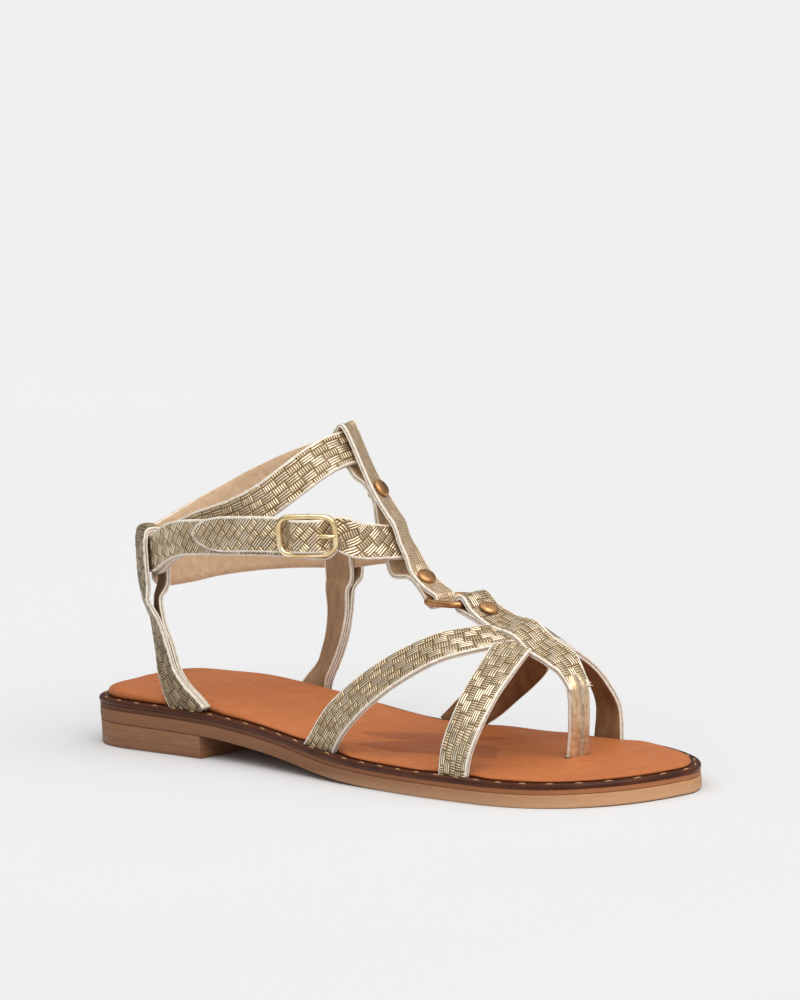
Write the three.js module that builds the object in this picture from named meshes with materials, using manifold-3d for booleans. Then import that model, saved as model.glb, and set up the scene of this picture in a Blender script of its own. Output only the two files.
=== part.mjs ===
// Gladiator sandal for the right foot: flat sole with a low heel, padded footbed, toe post,
// two vamp straps that cross, and a long ankle strap held by an instep loop and two heel straps.
// Units are millimetres. +X points to the toe, +Y to the inner (medial) side, +Z up.
// The origin is under the heel, on the floor, in the middle of the heel block.
import * as THREE from 'three';
import { mergeVertices } from 'three/addons/utils/BufferGeometryUtils.js';
import Module from 'manifold-3d';

const wasm = await Module();
wasm.setup();

// Sole and last
const soleLength = 264.5;
const ballWidth = 81.4;
const heelOverhang = 35.5; // heel back to the origin
const heelLift = 7.75;
const heelLength = 64.5;
const toeSpring = 0.3;
const outsoleThickness = 4.4;
const midsoleThickness = 1.3;
const weltThickness = 1.6;
const weltWidth = 8;
const padAtHeel = 3.4;
const padAtToe = 1.3;
const footbedInset = 3.1;
const footbedPinch = 1.6;
const instepHeight = 39.2; // welt to the crossing of the vamp straps

// Straps
const strapWidth = 12;
const vampWidth = 13;
const heelStrapWidth = 12.6;
const strapWall = 1.8;
const bandWidth = 8.6; // instep loop
const foldWall = 1.5; // instep loop and heel straps
const postWidth = 8.4;
const postDepth = 5;
const strapInset = 3.3; // sole edge to the middle of a strap's wall
const midlineAcross = 2.6; // the toe post and the centre strap lie this far inward

// Ankle
const ankleHeight = 74.4; // floor to the lower wrap at the instep
const ankleWidth = 61.6;
const ankleBack = -12;
const ankleAcross = 2.2;

// Hardware
const ringLength = 18.2; // across the foot
const ringWidth = 17.7; // along the foot
const ringWire = 2.2;
const rivetCap = 6.4;
const rivetShank = 2.2;
const buckleLength = 21.6;
const buckleHeight = 14.4;
const buckleWire = 2;
const barWire = 1.6;
const prongWire = 1.4;

// Clearances
const seat = 0.3;
const rivetPlay = 0.15;
const rivetSeat = 0.42; // cap to leather that isn't quite flat

const soleStack = outsoleThickness + midsoleThickness + weltThickness + 2 * seat;
const layerStep = strapWall + 0.4;

// Half widths of the sole, as shares of the ball width, at shares of the sole length.
const sideRows = [
  { along: 0.1331, lateral: 0.345, medial: 0.345 },
  { along: 0.2189, lateral: 0.347, medial: 0.356 },
  { along: 0.3333, lateral: 0.364, medial: 0.32 },
  { along: 0.4476, lateral: 0.41, medial: 0.308 },
  { along: 0.5428, lateral: 0.454, medial: 0.408 },
  { along: 0.6381, lateral: 0.479, medial: 0.454 },
  { along: 0.7143, lateral: 0.494, medial: 0.476 },
  { along: 0.7906, lateral: 0.495, medial: 0.478 },
];
const heelEnd = { along: 0.1331, squareness: 3.3 };
const toeEnd = { along: 0.7906, lateralSquareness: 2.38, medialSquareness: 1.66, tip: 0.11 };

// Underside of the outsole, as shares of the heel lift.
const archRows = [
  { along: 0, lift: 1.1 },
  { along: 0.2437, lift: 1 },
  { along: 0.3141, lift: 0.865 },
  { along: 0.3713, lift: 0.72 },
  { along: 0.4285, lift: 0.53 },
  { along: 0.4856, lift: 0.285 },
  { along: 0.5428, lift: 0.115 },
  { along: 0.6, lift: 0.03 },
  { along: 0.6571, lift: 0 },
];

// Front of the ankle from the ring up: height as a share of the ankle height, and how far
// forward of the heel back as a share of the sole length.
const instepRows = [
  { rise: 0.74, forward: 0.5952 },
  { rise: 0.8, forward: 0.5781 },
  { rise: 0.84, forward: 0.5629 },
  { rise: 0.919, forward: 0.5372 },
  { rise: 1, forward: 0.5214 },
  { rise: 1.081, forward: 0.51 },
  { rise: 1.156, forward: 0.4956 },
  { rise: 1.237, forward: 0.4818 },
  { rise: 1.31, forward: 0.4623 },
  { rise: 1.391, forward: 0.4474 },
  { rise: 1.472, forward: 0.4342 },
];

function column(rows, place, name) {
  const last = rows.length - 1;
  const slope = (k) => {
    const before = rows[Math.max(k - 1, 0)];
    const after = rows[Math.min(k + 1, last)];
    return (after[name] - before[name]) / (after[place] - before[place]);
  };
  return (value) => {
    if (value <= rows[0][place]) return rows[0][name];
    if (value >= rows[last][place]) return rows[last][name];
    let i = 0;
    while (rows[i + 1][place] < value) i += 1;
    const step = rows[i + 1][place] - rows[i][place];
    const t = (value - rows[i][place]) / step;
    const start = rows[i][name];
    const end = rows[i + 1][name];
    const rise = t * t * (3 - 2 * t);
    const leave = t * (1 - t) * (1 - t) * step * slope(i);
    const arrive = t * t * (t - 1) * step * slope(i + 1);
    return start + (end - start) * rise + leave + arrive;
  };
}

const alongAt = (x) => (x + heelOverhang) / soleLength;
const xAt = (along) => along * soleLength - heelOverhang;
const lateralShare = column(sideRows, 'along', 'lateral');
const medialShare = column(sideRows, 'along', 'medial');
const archShare = column(archRows, 'along', 'lift');
const instepForward = column(instepRows, 'rise', 'forward');

// Rises are shares of the ankle height; below 1 they run down to the level of the ring.
const ringRise = 0.766;
const heightAt = (rise) => {
  const down = (rise - ringRise) / (1 - ringRise);
  return rise < 1 ? THREE.MathUtils.lerp(ringZ, ankleHeight, down) : rise * ankleHeight;
};
const riseAt = (z) => {
  const down = (z - ringZ) / (ankleHeight - ringZ);
  return z < ankleHeight ? THREE.MathUtils.lerp(ringRise, 1, down) : z / ankleHeight;
};
const instepX = (z) => xAt(instepForward(riseAt(z)));

function soleBottom(x) {
  const share = alongAt(x);
  const toe = THREE.MathUtils.smoothstep(share, 0.883, 1);
  return heelLift * archShare(share) + toeSpring * toe;
}
const weltTop = (x) => soleBottom(x) + soleStack;

function power(value, squareness) {
  return Math.sign(value) * Math.abs(value) ** (2 / squareness);
}

// The sole's outline, anticlockwise from the tip of the toe, with the spine point of each.
function soleOutline() {
  const points = [];
  const add = (x, y, spineX, spineY) => {
    points.push({ at: new THREE.Vector2(x, y), spine: new THREE.Vector2(spineX, spineY) });
  };
  const toeX = xAt(toeEnd.along);
  const toeReach = xAt(1) - toeX;
  const heelX = xAt(heelEnd.along);
  const heelReach = heelX - xAt(0);
  const tipY = toeEnd.tip * ballWidth;
  const side = { 1: medialShare, '-1': lateralShare };
  const middle = (along) => ((medialShare(along) - lateralShare(along)) / 2) * ballWidth;
  const toeArc = (sign, squareness, turn) => {
    const wide = sign * side[sign](toeEnd.along) * ballWidth - tipY;
    const x = toeX + toeReach * power(Math.cos(turn), squareness);
    add(x, tipY + wide * power(Math.sin(turn), squareness), toeX, middle(toeEnd.along));
  };
  const heelArc = (turn) => {
    const sign = Math.sin(turn) >= 0 ? 1 : -1;
    const wide = side[sign](heelEnd.along) * ballWidth;
    const x = heelX + heelReach * power(Math.cos(turn), heelEnd.squareness);
    add(x, wide * power(Math.sin(turn), heelEnd.squareness), heelX, middle(heelEnd.along));
  };
  const edge = (sign, along) => {
    add(xAt(along), sign * side[sign](along) * ballWidth, xAt(along), middle(along));
  };
  const toeSteps = 10;
  const sideSteps = 15;
  const heelSteps = 14;
  for (let i = 0; i < toeSteps; i += 1) {
    toeArc(1, toeEnd.medialSquareness, (i / toeSteps) * (Math.PI / 2));
  }
  for (let i = 0; i < sideSteps; i += 1) {
    edge(1, THREE.MathUtils.lerp(toeEnd.along, heelEnd.along, i / sideSteps));
  }
  for (let i = 0; i < heelSteps; i += 1) {
    heelArc(Math.PI / 2 + (i / heelSteps) * Math.PI);
  }
  for (let i = 0; i < sideSteps; i += 1) {
    edge(-1, THREE.MathUtils.lerp(heelEnd.along, toeEnd.along, i / sideSteps));
  }
  for (let i = 0; i < toeSteps; i += 1) {
    toeArc(-1, toeEnd.lateralSquareness, (1 - i / toeSteps) * (Math.PI / 2));
  }
  const count = points.length;
  points.forEach((point, i) => {
    const before = points[(i + count - 1) % count].at;
    const after = points[(i + 1) % count].at;
    const run = after.clone().sub(before).normalize();
    point.inward = new THREE.Vector2(-run.y, run.x);
  });
  return points;
}
const outline = soleOutline();

// Where the straps leave the sole: share of the sole length, and the side.
const strapFeet = {
  heelLateral: { along: 0.217, sign: -1 },
  heelMedial: { along: 0.2439, sign: 1 },
  vampRearLateral: { along: 0.4938, sign: -1 },
  vampRearMedial: { along: 0.5102, sign: 1 },
  vampFrontLateral: { along: 0.761, sign: -1 },
  vampFrontMedial: { along: 0.7487, sign: 1 },
};

function footOf({ along, sign }, inset = strapInset) {
  const share = sign > 0 ? medialShare : lateralShare;
  const x = xAt(along);
  return new THREE.Vector3(x, sign * (share(along) * ballWidth - inset), weltTop(x) + seat);
}

// Inset of the padded footbed, drawn in where a strap passes it.
function padInset(point) {
  const pinch = Object.values(strapFeet).reduce((most, foot) => {
    const sameSide = Math.sign(point.at.y) === foot.sign;
    const away = Math.abs(point.at.x - xAt(foot.along)) / strapWidth;
    const here = sameSide ? 1 - THREE.MathUtils.smoothstep(away, 0.6, 1.5) : 0;
    return Math.max(most, here);
  }, 0);
  return footbedInset + footbedPinch * pinch;
}

// Everything that the straps' ends stand on, grown by their seat.
function soleClearance() {
  const deep = (x) => soleBottom(x) - 3 * heelLift;
  const floor = (x) => weltTop(x) + seat;
  const over = (part) => (x) => floor(x) + seat + padAt(x) * part;
  const more = (extra) => (point) => padInset(point) - seat + extra;
  const beyond = fixed(-8);
  return layer([
    { pull: 1, height: deep },
    { inset: beyond, height: deep },
    { inset: beyond, height: floor },
    { inset: more(0), height: floor },
    { inset: more(0), height: over(0.35) },
    { inset: more(0.6), height: over(0.66) },
    { inset: more(2), height: over(0.84) },
    { inset: more(5), height: over(0.93) },
    { pull: 0.5, height: over(0.98) },
    { pull: 1, height: over(1) },
  ]);
}

function toSolid(points, faces) {
  let shape = new THREE.BufferGeometry().setFromPoints(points);
  shape.setIndex(faces.flat());
  shape = mergeVertices(shape, 1e-4);
  const position = shape.attributes.position;
  const corner = (i) => new THREE.Vector3().fromBufferAttribute(position, i);
  const kept = [];
  let volume = 0;
  for (let i = 0; i < shape.index.count; i += 3) {
    const [a, b, c] = [0, 1, 2].map((k) => shape.index.getX(i + k));
    if (a !== b && b !== c && c !== a) {
      kept.push([a, b, c]);
      volume += corner(a).dot(corner(b).cross(corner(c)));
    }
  }
  const outward = volume > 0 ? kept : kept.map(([a, b, c]) => [a, c, b]);
  return new wasm.Manifold(new wasm.Mesh({
    numProp: 3,
    vertProperties: new Float32Array(position.array),
    triVerts: new Uint32Array(outward.flat()),
  }));
}

// Skin over sections with equal numbers of points; the ends are capped unless it is closed.
function skin(sections, closed = false) {
  const size = sections[0].length;
  const points = sections.flat();
  const faces = [];
  const bands = closed ? sections.length : sections.length - 1;
  for (let i = 0; i < bands; i += 1) {
    const here = i * size;
    const next = ((i + 1) % sections.length) * size;
    for (let k = 0; k < size; k += 1) {
      const l = (k + 1) % size;
      faces.push([here + k, here + l, next + l], [here + k, next + l, next + k]);
    }
  }
  if (!closed) {
    const last = (sections.length - 1) * size;
    for (let k = 1; k < size - 1; k += 1) {
      faces.push([0, k + 1, k], [last, last + k, last + k + 1]);
    }
  }
  return toSolid(points, faces);
}

// A layer of the sole from rings: each ring has an inset, a pull to the spine and a height.
function layer(rings, closed = false) {
  const sections = rings.map(({ inset = () => 0, pull = 0, height }) => outline.map((point) => {
    const flat = point.at.clone().addScaledVector(point.inward, inset(point));
    flat.lerp(point.spine, pull);
    return new THREE.Vector3(flat.x, flat.y, height(flat.x));
  }));
  return skin(sections, closed);
}

function fixed(value) {
  return () => value;
}

function makeOutsole() {
  const bottom = (x) => soleBottom(x);
  const top = (x) => soleBottom(x) + outsoleThickness;
  const edge = 0.6;
  return layer([
    { pull: 1, height: bottom },
    { pull: 0.5, height: bottom },
    { inset: fixed(edge), height: bottom },
    { height: (x) => bottom(x) + edge },
    { height: top },
    { pull: 0.5, height: top },
    { pull: 1, height: top },
  ]);
}

function makeMidsole() {
  const bottom = (x) => soleBottom(x) + outsoleThickness + seat;
  const top = (x) => bottom(x) + midsoleThickness;
  return layer([
    { pull: 1, height: bottom },
    { pull: 0.5, height: bottom },
    { height: bottom },
    { height: top },
    { pull: 0.5, height: top },
    { pull: 1, height: top },
  ]);
}

// The welt is a rim with a rounded outer edge and a shallow groove for its stitches.
function makeWelt() {
  const bottom = (x) => weltTop(x) - weltThickness;
  const round = 0.45;
  const grooveInset = 1.5;
  const grooveDepth = 0.3;
  return layer([
    { inset: fixed(weltWidth), height: bottom },
    { height: bottom },
    { inset: fixed(-0.2), height: (x) => bottom(x) + weltThickness * 0.45 },
    { inset: fixed(round), height: weltTop },
    { inset: fixed(grooveInset - 0.4), height: weltTop },
    { inset: fixed(grooveInset), height: (x) => weltTop(x) - grooveDepth },
    { inset: fixed(grooveInset + 0.4), height: weltTop },
    { inset: fixed(weltWidth), height: weltTop },
  ], true);
}

function makeHeel() {
  const edge = 0.7;
  const top = (x) => Math.max(soleBottom(x) - seat, 2 * edge);
  const block = layer([
    { pull: 1, height: fixed(0) },
    { pull: 0.5, height: fixed(0) },
    { inset: fixed(edge), height: fixed(0) },
    { height: fixed(edge) },
    { height: top },
    { pull: 0.5, height: top },
    { pull: 1, height: top },
  ]);
  const breastX = xAt(0) + heelLength;
  const before = wasm.Manifold.cube([soleLength, 2 * ballWidth, 4 * heelLift], true)
    .translate([breastX - soleLength / 2, 0, 0]);
  return block.intersect(before);
}

function padAt(x) {
  const forward = THREE.MathUtils.smoothstep(alongAt(x), 0.137, 0.412);
  return THREE.MathUtils.lerp(padAtHeel, padAtToe, forward);
}
const footbedTop = (x) => weltTop(x) + seat + padAt(x);

// The footbed lies on the welt, its filler reaches down to the midsole inside it.
function makeFootbed() {
  const filler = (x) => weltTop(x) - weltThickness;
  const shelf = (x) => weltTop(x) + seat;
  const share = (part) => (x) => shelf(x) + padAt(x) * part;
  const more = (extra) => (point) => padInset(point) + extra;
  const plug = fixed(weltWidth + seat);
  const body = layer([
    { pull: 1, height: filler },
    { pull: 0.5, height: filler },
    { inset: plug, height: filler },
    { inset: plug, height: shelf },
    { inset: more(0.7), height: shelf },
    { inset: more(0), height: share(0.35) },
    { inset: more(0.6), height: share(0.66) },
    { inset: more(2), height: share(0.84) },
    { inset: more(5), height: share(0.93) },
    { pull: 0.5, height: share(0.98) },
    { pull: 1, height: share(1) },
  ]);
  return body.subtract(postPocket());
}

// A strip's section: its wall, eased on the outer side, as side and outward distances.
function stripSection(width, wall, ease = 0.35) {
  const w = width / 2;
  const t = wall / 2;
  return [[-w, -t], [-w, t - ease], [-w + ease, t], [w - ease, t], [w, t - ease], [w, -t]];
}

// A strap through points. across gives the way its width runs at each point.
function strap({ points, across, width, wall, steps, closed = false, widthAt, section }) {
  const path = new THREE.CatmullRomCurve3(points, closed, 'centripetal');
  const widthWay = new THREE.CatmullRomCurve3(across, closed, 'catmullrom');
  const spans = closed ? points.length : points.length - 1;
  const count = spans * steps;
  const sections = [];
  for (let i = 0; i < (closed ? count : count + 1); i += 1) {
    const t = i / count;
    const centre = path.getPoint(t);
    const along = path.getTangent(t);
    const side = widthWay.getPoint(t);
    side.addScaledVector(along, -side.dot(along)).normalize();
    const out = new THREE.Vector3().crossVectors(along, side);
    const here = widthAt ? widthAt(t) : width;
    const shape = section ? section(t) : stripSection(here, wall);
    sections.push(shape.map(([s, o]) => centre.clone().addScaledVector(side, s).addScaledVector(out, o)));
  }
  return skin(sections, closed);
}

// Width direction of a strap that lies on the last, from the way out of the last.
function acrossOnLast(points) {
  const lean = 0.38;
  return points.map((point, i) => {
    const before = points[Math.max(i - 1, 0)];
    const after = points[Math.min(i + 1, points.length - 1)];
    const along = after.clone().sub(before).normalize();
    const above = point.z - weltTop(point.x);
    const out = new THREE.Vector3(lean * above, point.y - midlineAcross, above + 2);
    out.addScaledVector(along, -out.dot(along)).normalize();
    return new THREE.Vector3().crossVectors(out, along);
  });
}

// Points of a strap over the last: shares of sole length, ball width and instep height.
function overLast(rows) {
  return rows.map(({ along, across, up }) => {
    const x = xAt(along);
    return new THREE.Vector3(x, across * ballWidth, weltTop(x) + up * instepHeight);
  });
}

// From the lateral side behind the ball to the medial side before it, on top at the crossing.
const upperVampRows = [
  { along: 0.5247, across: -0.401, up: 0.255 },
  { along: 0.5609, across: -0.4, up: 0.464 },
  { along: 0.5867, across: -0.388, up: 0.598 },
  { along: 0.6314, across: -0.34, up: 0.8 },
  { along: 0.6791, across: -0.248, up: 0.969 },
  { along: 0.7105, across: -0.125, up: 1.02 },
  { along: 0.7257, across: 0.03, up: 1.03 },
  { along: 0.7344, across: 0.16, up: 0.995 },
  { along: 0.7382, across: 0.27, up: 0.84 },
  { along: 0.742, across: 0.355, up: 0.68 },
  { along: 0.7457, across: 0.405, up: 0.52 },
  { along: 0.7477, across: 0.45, up: 0.3 },
];

// From the lateral side before the ball to the medial side behind it, underneath.
const lowerVampRows = [
  { along: 0.7649, across: -0.443, up: 0.197 },
  { along: 0.7724, across: -0.41, up: 0.4 },
  { along: 0.7734, across: -0.318, up: 0.648 },
  { along: 0.7649, across: -0.194, up: 0.824 },
  { along: 0.7524, across: -0.081, up: 0.94 },
  { along: 0.7344, across: 0.033, up: 0.983 },
  { along: 0.7048, across: 0.16, up: 0.95 },
  { along: 0.6753, across: 0.265, up: 0.815 },
  { along: 0.6438, across: 0.353, up: 0.66 },
  { along: 0.6096, across: 0.381, up: 0.51 },
  { along: 0.58, across: 0.382, up: 0.375 },
  { along: 0.5533, across: 0.372, up: 0.24 },
  { along: 0.5308, across: 0.345, up: 0.13 },
];

// A point past the end of a strap, so that its end can be cut to the sole.
function past(end, next) {
  return end.clone().add(end.clone().sub(next).setLength(strapWidth / 2));
}

function vampStrap(rows, firstFoot, lastFoot) {
  const middle = overLast(rows);
  const first = footOf(firstFoot);
  const last = footOf(lastFoot);
  const points = [past(first, middle[0]), first, ...middle, last, past(last, middle[middle.length - 1])];
  return strap({
    points, across: acrossOnLast(points), width: vampWidth, wall: strapWall, steps: 2,
  }).subtract(soleClearance());
}

// The centre strap from its fold over the ring down to the toe post.
const centreRows = [
  { along: 0.6492, up: 1.311 },
  { along: 0.6696, up: 1.207 },
  { along: 0.7036, up: 1.105 },
  { along: 0.7419, up: 1.062 },
  { along: 0.772, up: 0.935 },
  { along: 0.7991, up: 0.865 },
  { along: 0.8173, up: 0.782 },
  { along: 0.8315, up: 0.62 },
  { along: 0.833, up: 0.45 },
];

const sideways = new THREE.Vector3(0, 1, 0);
const crossTilt = 0.26; // the centre strap is a little higher on the inner side

function centrePoints() {
  return centreRows.map(({ along, up }) => {
    const x = xAt(along);
    return new THREE.Vector3(x, midlineAcross, weltTop(x) + up * instepHeight);
  });
}

// The ring lies level between the centre strap's fold and the instep loop's fold.
const foldRadius = ringWire / 2 + seat + strapWall / 2;
const ringFrontX = centrePoints()[0].x;
const ringZ = centrePoints()[0].z - foldRadius;
const ringRearX = ringFrontX - (ringWidth - ringWire);
const foldLeaves = 46; // degrees at which the top layer leaves the ring's bar

function onFold(turn) {
  const a = THREE.MathUtils.degToRad(turn);
  return new THREE.Vector3(
    ringFrontX + foldRadius * Math.cos(a), midlineAcross, ringZ + foldRadius * Math.sin(a));
}

function makeCentreStrap() {
  const points = centrePoints();
  const path = [points[0], onFold((90 + foldLeaves) / 2), onFold(foldLeaves), ...points.slice(1)];
  const narrow = path.length - 1;
  const level = 2; // points that stay level round the ring
  const tilt = (i) => crossTilt * Math.sin((Math.max(i - level, 0) / (narrow - level)) * Math.PI);
  const top = strap({
    points: path,
    across: path.map((_, i) => new THREE.Vector3(0, 1, tilt(i))),
    wall: strapWall,
    steps: 3,
    widthAt: (t) => THREE.MathUtils.lerp(
      strapWidth, postWidth - 1, THREE.MathUtils.smoothstep(t * narrow, narrow - 2.2, narrow - 0.6)),
  });
  return top.add(ringFold(points)).add(makePost(points));
}

const foldWidth = strapWidth - 0.4;

// The strap's end goes round the ring's front bar and back under itself.
function ringFold(points) {
  const arc = [];
  for (let turn = foldLeaves; turn <= 270; turn += 27.5) arc.push(onFold(turn));
  const under = strapWall - 0.1;
  const below = (point, drop) => new THREE.Vector3(point.x, midlineAcross, point.z - drop);
  const start = below(points[1].clone().lerp(arc[0], 0.4), 0.1);
  const halfway = points[1].clone().lerp(points[2], 0.5);
  const tail = [
    below(points[1], under + 0.4), below(halfway, under + 0.15), below(points[2], under + 0.05),
  ];
  const path = [start, ...arc, ...tail];
  return strap({
    points: path, across: path.map(() => sideways), width: foldWidth, wall: strapWall, steps: 2,
  });
}

// The toe post: the strap folded lengthwise into two rolls with a groove between them.
const postFoot = new THREE.Vector3(xAt(0.8234), midlineAcross, 0);

function postSection(width, depth) {
  const shape = [];
  for (let i = 0; i < 16; i += 1) {
    const a = (i / 16) * 2 * Math.PI;
    const groove = 1 - 0.24 * Math.exp(-((Math.cos(a) / 0.34) ** 2));
    shape.push([(width / 2) * Math.cos(a), (depth / 2) * Math.sin(a) * groove]);
  }
  return shape;
}

function postPoints(points) {
  const [above, top] = points.slice(-3, -1);
  const foot = postFoot.clone().setZ(footbedTop(postFoot.x));
  const middle = top.clone().lerp(foot, 0.5).add(new THREE.Vector3(0.9, 0, 0));
  const buried = foot.clone().add(new THREE.Vector3(-0.3, 0, -padAtToe));
  return [above.clone().lerp(top, 0.45), top, middle, foot, buried];
}

function makePost(points) {
  const path = postPoints(points);
  const grow = (t) => THREE.MathUtils.lerp(0.86, 1, THREE.MathUtils.smoothstep(t, 0, 0.3));
  return strap({
    points: path,
    across: path.map(() => sideways),
    steps: 3,
    section: (t) => postSection(postWidth * grow(t), postDepth * grow(t)),
  });
}

function postPocket() {
  const path = postPoints(centrePoints());
  const [foot, buried] = path.slice(-2);
  const down = foot.clone().sub(buried);
  const low = buried.clone().addScaledVector(down, -0.4);
  const high = foot.clone().addScaledVector(down, 2);
  return strap({
    points: [low, high],
    across: [sideways, sideways],
    steps: 1,
    section: () => postSection(postWidth + 2 * seat, postDepth + 2.5 * seat)
      .map(([s, o]) => [s, o * 1.12]),
  });
}

const rivetHole = rivetShank + 2 * rivetPlay;

// A rivet: a low domed cap, a shank through the layers and a flat tail cap.
function rivetAt({ centre, out, grip }) {
  const cap = rivetCap / 2;
  const shank = rivetShank / 2;
  const face = grip / 2 + rivetSeat;
  const profile = [
    [0, -face - 0.9], [cap * 0.5, -face - 0.9], [cap * 0.58, -face - 0.1], [shank, -face - 0.1],
    [shank, face], [cap, face], [cap * 0.9, face + 0.55], [cap * 0.55, face + 0.95], [0, face + 1.1],
  ].map(([x, y]) => new THREE.Vector2(x, y));
  return place(new THREE.LatheGeometry(profile, 16), centre, out);
}

function holeAt({ centre, out, grip }) {
  return place(new THREE.CylinderGeometry(rivetHole / 2, rivetHole / 2, grip + 6, 16), centre, out);
}

// Turns a three.js shape that stands on its Y axis to stand along out, as a solid.
function place(shape, centre, out) {
  const standing = new THREE.Vector3(0, 1, 0);
  const turn = new THREE.Quaternion().setFromUnitVectors(standing, out.clone().normalize());
  shape.deleteAttribute('normal');
  shape.deleteAttribute('uv');
  const flat = shape.index ? shape.toNonIndexed() : shape;
  flat.applyQuaternion(turn).translate(centre.x, centre.y, centre.z);
  const position = flat.attributes.position;
  const points = [];
  const faces = [];
  for (let i = 0; i < position.count; i += 1) {
    points.push(new THREE.Vector3().fromBufferAttribute(position, i));
    if (i % 3 === 0) faces.push([i, i + 1, i + 2]);
  }
  return toSolid(points, faces);
}

// Place on the ankle: turn is in degrees from the front over the lateral side to the back.
const ankleSquareness = 2.35;
const innerFrontSquareness = { least: 1.22, most: 1.35 }; // this quarter is pulled nearly straight

function ankleAt(turn, z, out = 0) {
  const a = THREE.MathUtils.degToRad(turn);
  const front = instepX(z);
  const half = (front - ankleBack) / 2;
  const middle = (front + ankleBack) / 2;
  const ellipse = (angle) => {
    const innerFront = Math.sin(angle) < 0 && Math.cos(angle) > 0;
    const { least, most } = innerFrontSquareness;
    const fromFront = THREE.MathUtils.smoothstep(-Math.sin(angle), 0.15, 0.8);
    const squareness = innerFront ? THREE.MathUtils.lerp(least, most, fromFront) : ankleSquareness;
    return new THREE.Vector3(
      middle + half * power(Math.cos(angle), squareness),
      ankleAcross - (ankleWidth / 2) * power(Math.sin(angle), squareness),
      z,
    );
  };
  const run = ellipse(a + 0.02).sub(ellipse(a - 0.02));
  const outward = new THREE.Vector3(run.y, -run.x, 0).normalize().negate();
  return { point: ellipse(a).addScaledVector(outward, out), outward };
}

// The ankle strap's way round: turn in degrees, rise as a share of the ankle height, and the
// layer it lies in, counted outwards.
const wrapRows = [
  { turn: 33, rise: 1.03, layer: 0.7 },
  { turn: 47, rise: 1.04, layer: 0.8 },
  { turn: 63, rise: 1.05, layer: 0.9 },
  { turn: 80, rise: 1.045, layer: 1 },
  { turn: 95, rise: 1.03, layer: 1 },
  { turn: 106, rise: 1.01, layer: 1 },
  { turn: 117, rise: 0.965, layer: 1 },
  { turn: 128, rise: 0.915, layer: 1 },
  { turn: 142, rise: 0.9, layer: 1 },
  { turn: 160, rise: 0.91, layer: 1 },
  { turn: 180, rise: 0.945, layer: 1 },
  { turn: 196, rise: 0.998, layer: 1 },
  { turn: 212, rise: 1.06, layer: 0.5 },
  { turn: 228, rise: 1.13, layer: 0 },
  { turn: 245, rise: 1.2, layer: 0 },
  { turn: 262, rise: 1.262, layer: 0 },
  { turn: 280, rise: 1.31, layer: 0 },
  { turn: 305, rise: 1.35, layer: 0 },
  { turn: 333, rise: 1.392, layer: 0 },
  { turn: 360, rise: 1.418, layer: 0 },
  { turn: 374, rise: 1.402, layer: 0 },
  { turn: 388, rise: 1.362, layer: 0 },
  { turn: 406, rise: 1.29, layer: 0 },
  { turn: 424, rise: 1.208, layer: 0 },
  { turn: 440, rise: 1.135, layer: 0 },
  { turn: 456, rise: 1.06, layer: 0 },
  { turn: 474, rise: 0.975, layer: 0 },
  { turn: 488, rise: 0.905, layer: 0 },
  { turn: 502, rise: 0.875, layer: 0 },
  { turn: 516, rise: 0.83, layer: 0 },
  { turn: 528, rise: 0.795, layer: 0 },
  { turn: 545, rise: 0.785, layer: 0 },
  { turn: 562, rise: 0.8, layer: 0 },
  { turn: 580, rise: 0.816, layer: 0 },
  { turn: 600, rise: 0.833, layer: 0 },
  { turn: 625, rise: 0.853, layer: 0 },
  { turn: 650, rise: 0.892, layer: 0 },
  { turn: 680, rise: 0.943, layer: 0 },
  { turn: 705, rise: 0.982, layer: 0 },
  { turn: 720, rise: 1, layer: 0.1 },
  { turn: 732, rise: 1.02, layer: 0.8 },
  { turn: 744, rise: 1.042, layer: 1.7 },
];

// The free end, from the buckle back along the lateral side to its tip.
const billetRows = [
  { turn: 788, rise: 1.073, layer: 2 },
  { turn: 803, rise: 1.062, layer: 2 },
  { turn: 814, rise: 1.05, layer: 2 },
];
const buckleTurn = 765.5;
const buckleRise = 1.073;
const humpLayer = 3.4;

function wrapPoints(rows) {
  return rows.map(({ turn, rise, layer: step }) => ankleAt(turn, rise * ankleHeight, step * layerStep).point);
}

// At the instep the strap leans back with the foot.
const instepLean = 0.62;

function wrapAcross(rows) {
  return rows.map(({ turn }) => {
    const a = THREE.MathUtils.degToRad(turn);
    const front = Math.max(Math.cos(a), 0);
    const fromBuckle = Math.abs((turn % 360) - (buckleTurn % 360));
    const free = Math.sin(a) < 0 ? 1 : THREE.MathUtils.smoothstep(fromBuckle, 15, 45) * front * front;
    const isBuckled = turn < 90 || turn > 700;
    return new THREE.Vector3(-instepLean * front * (isBuckled ? free : front * front), 0, 1);
  });
}

// The buckle's own axes: along the strap to the front, up across the strap, and outwards.
function buckleAxes() {
  const { point, outward } = ankleAt(buckleTurn, buckleRise * ankleHeight, 2 * layerStep);
  const up = new THREE.Vector3(0, 0, 1);
  const forward = new THREE.Vector3().crossVectors(up, outward).normalize();
  return { centre: point, outward, up, forward };
}

const buckle = buckleAxes();
const buckleBend = 46;

function onBuckle(forward, up, out) {
  const sag = (forward * forward) / (2 * buckleBend);
  return buckle.centre.clone()
    .addScaledVector(buckle.forward, forward)
    .addScaledVector(buckle.up, up)
    .addScaledVector(buckle.outward, out - sag);
}

const frameOut = strapWall / 2 + seat + buckleWire / 2;
const barOut = -layerStep + strapWall / 2 + 0.45 + barWire / 2;
const keeperWall = 0.8;
const keeperOut = barOut + barWire / 2 + 0.2 + keeperWall / 2;
const prongRise = barWire / 2 + seat + prongWire / 2; // bar to the prong that hooks over it
const humpOut = barOut + prongRise + prongWire / 2 + seat + strapWall / 2;
const openingHeight = buckleHeight - 2 * buckleWire;

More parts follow.
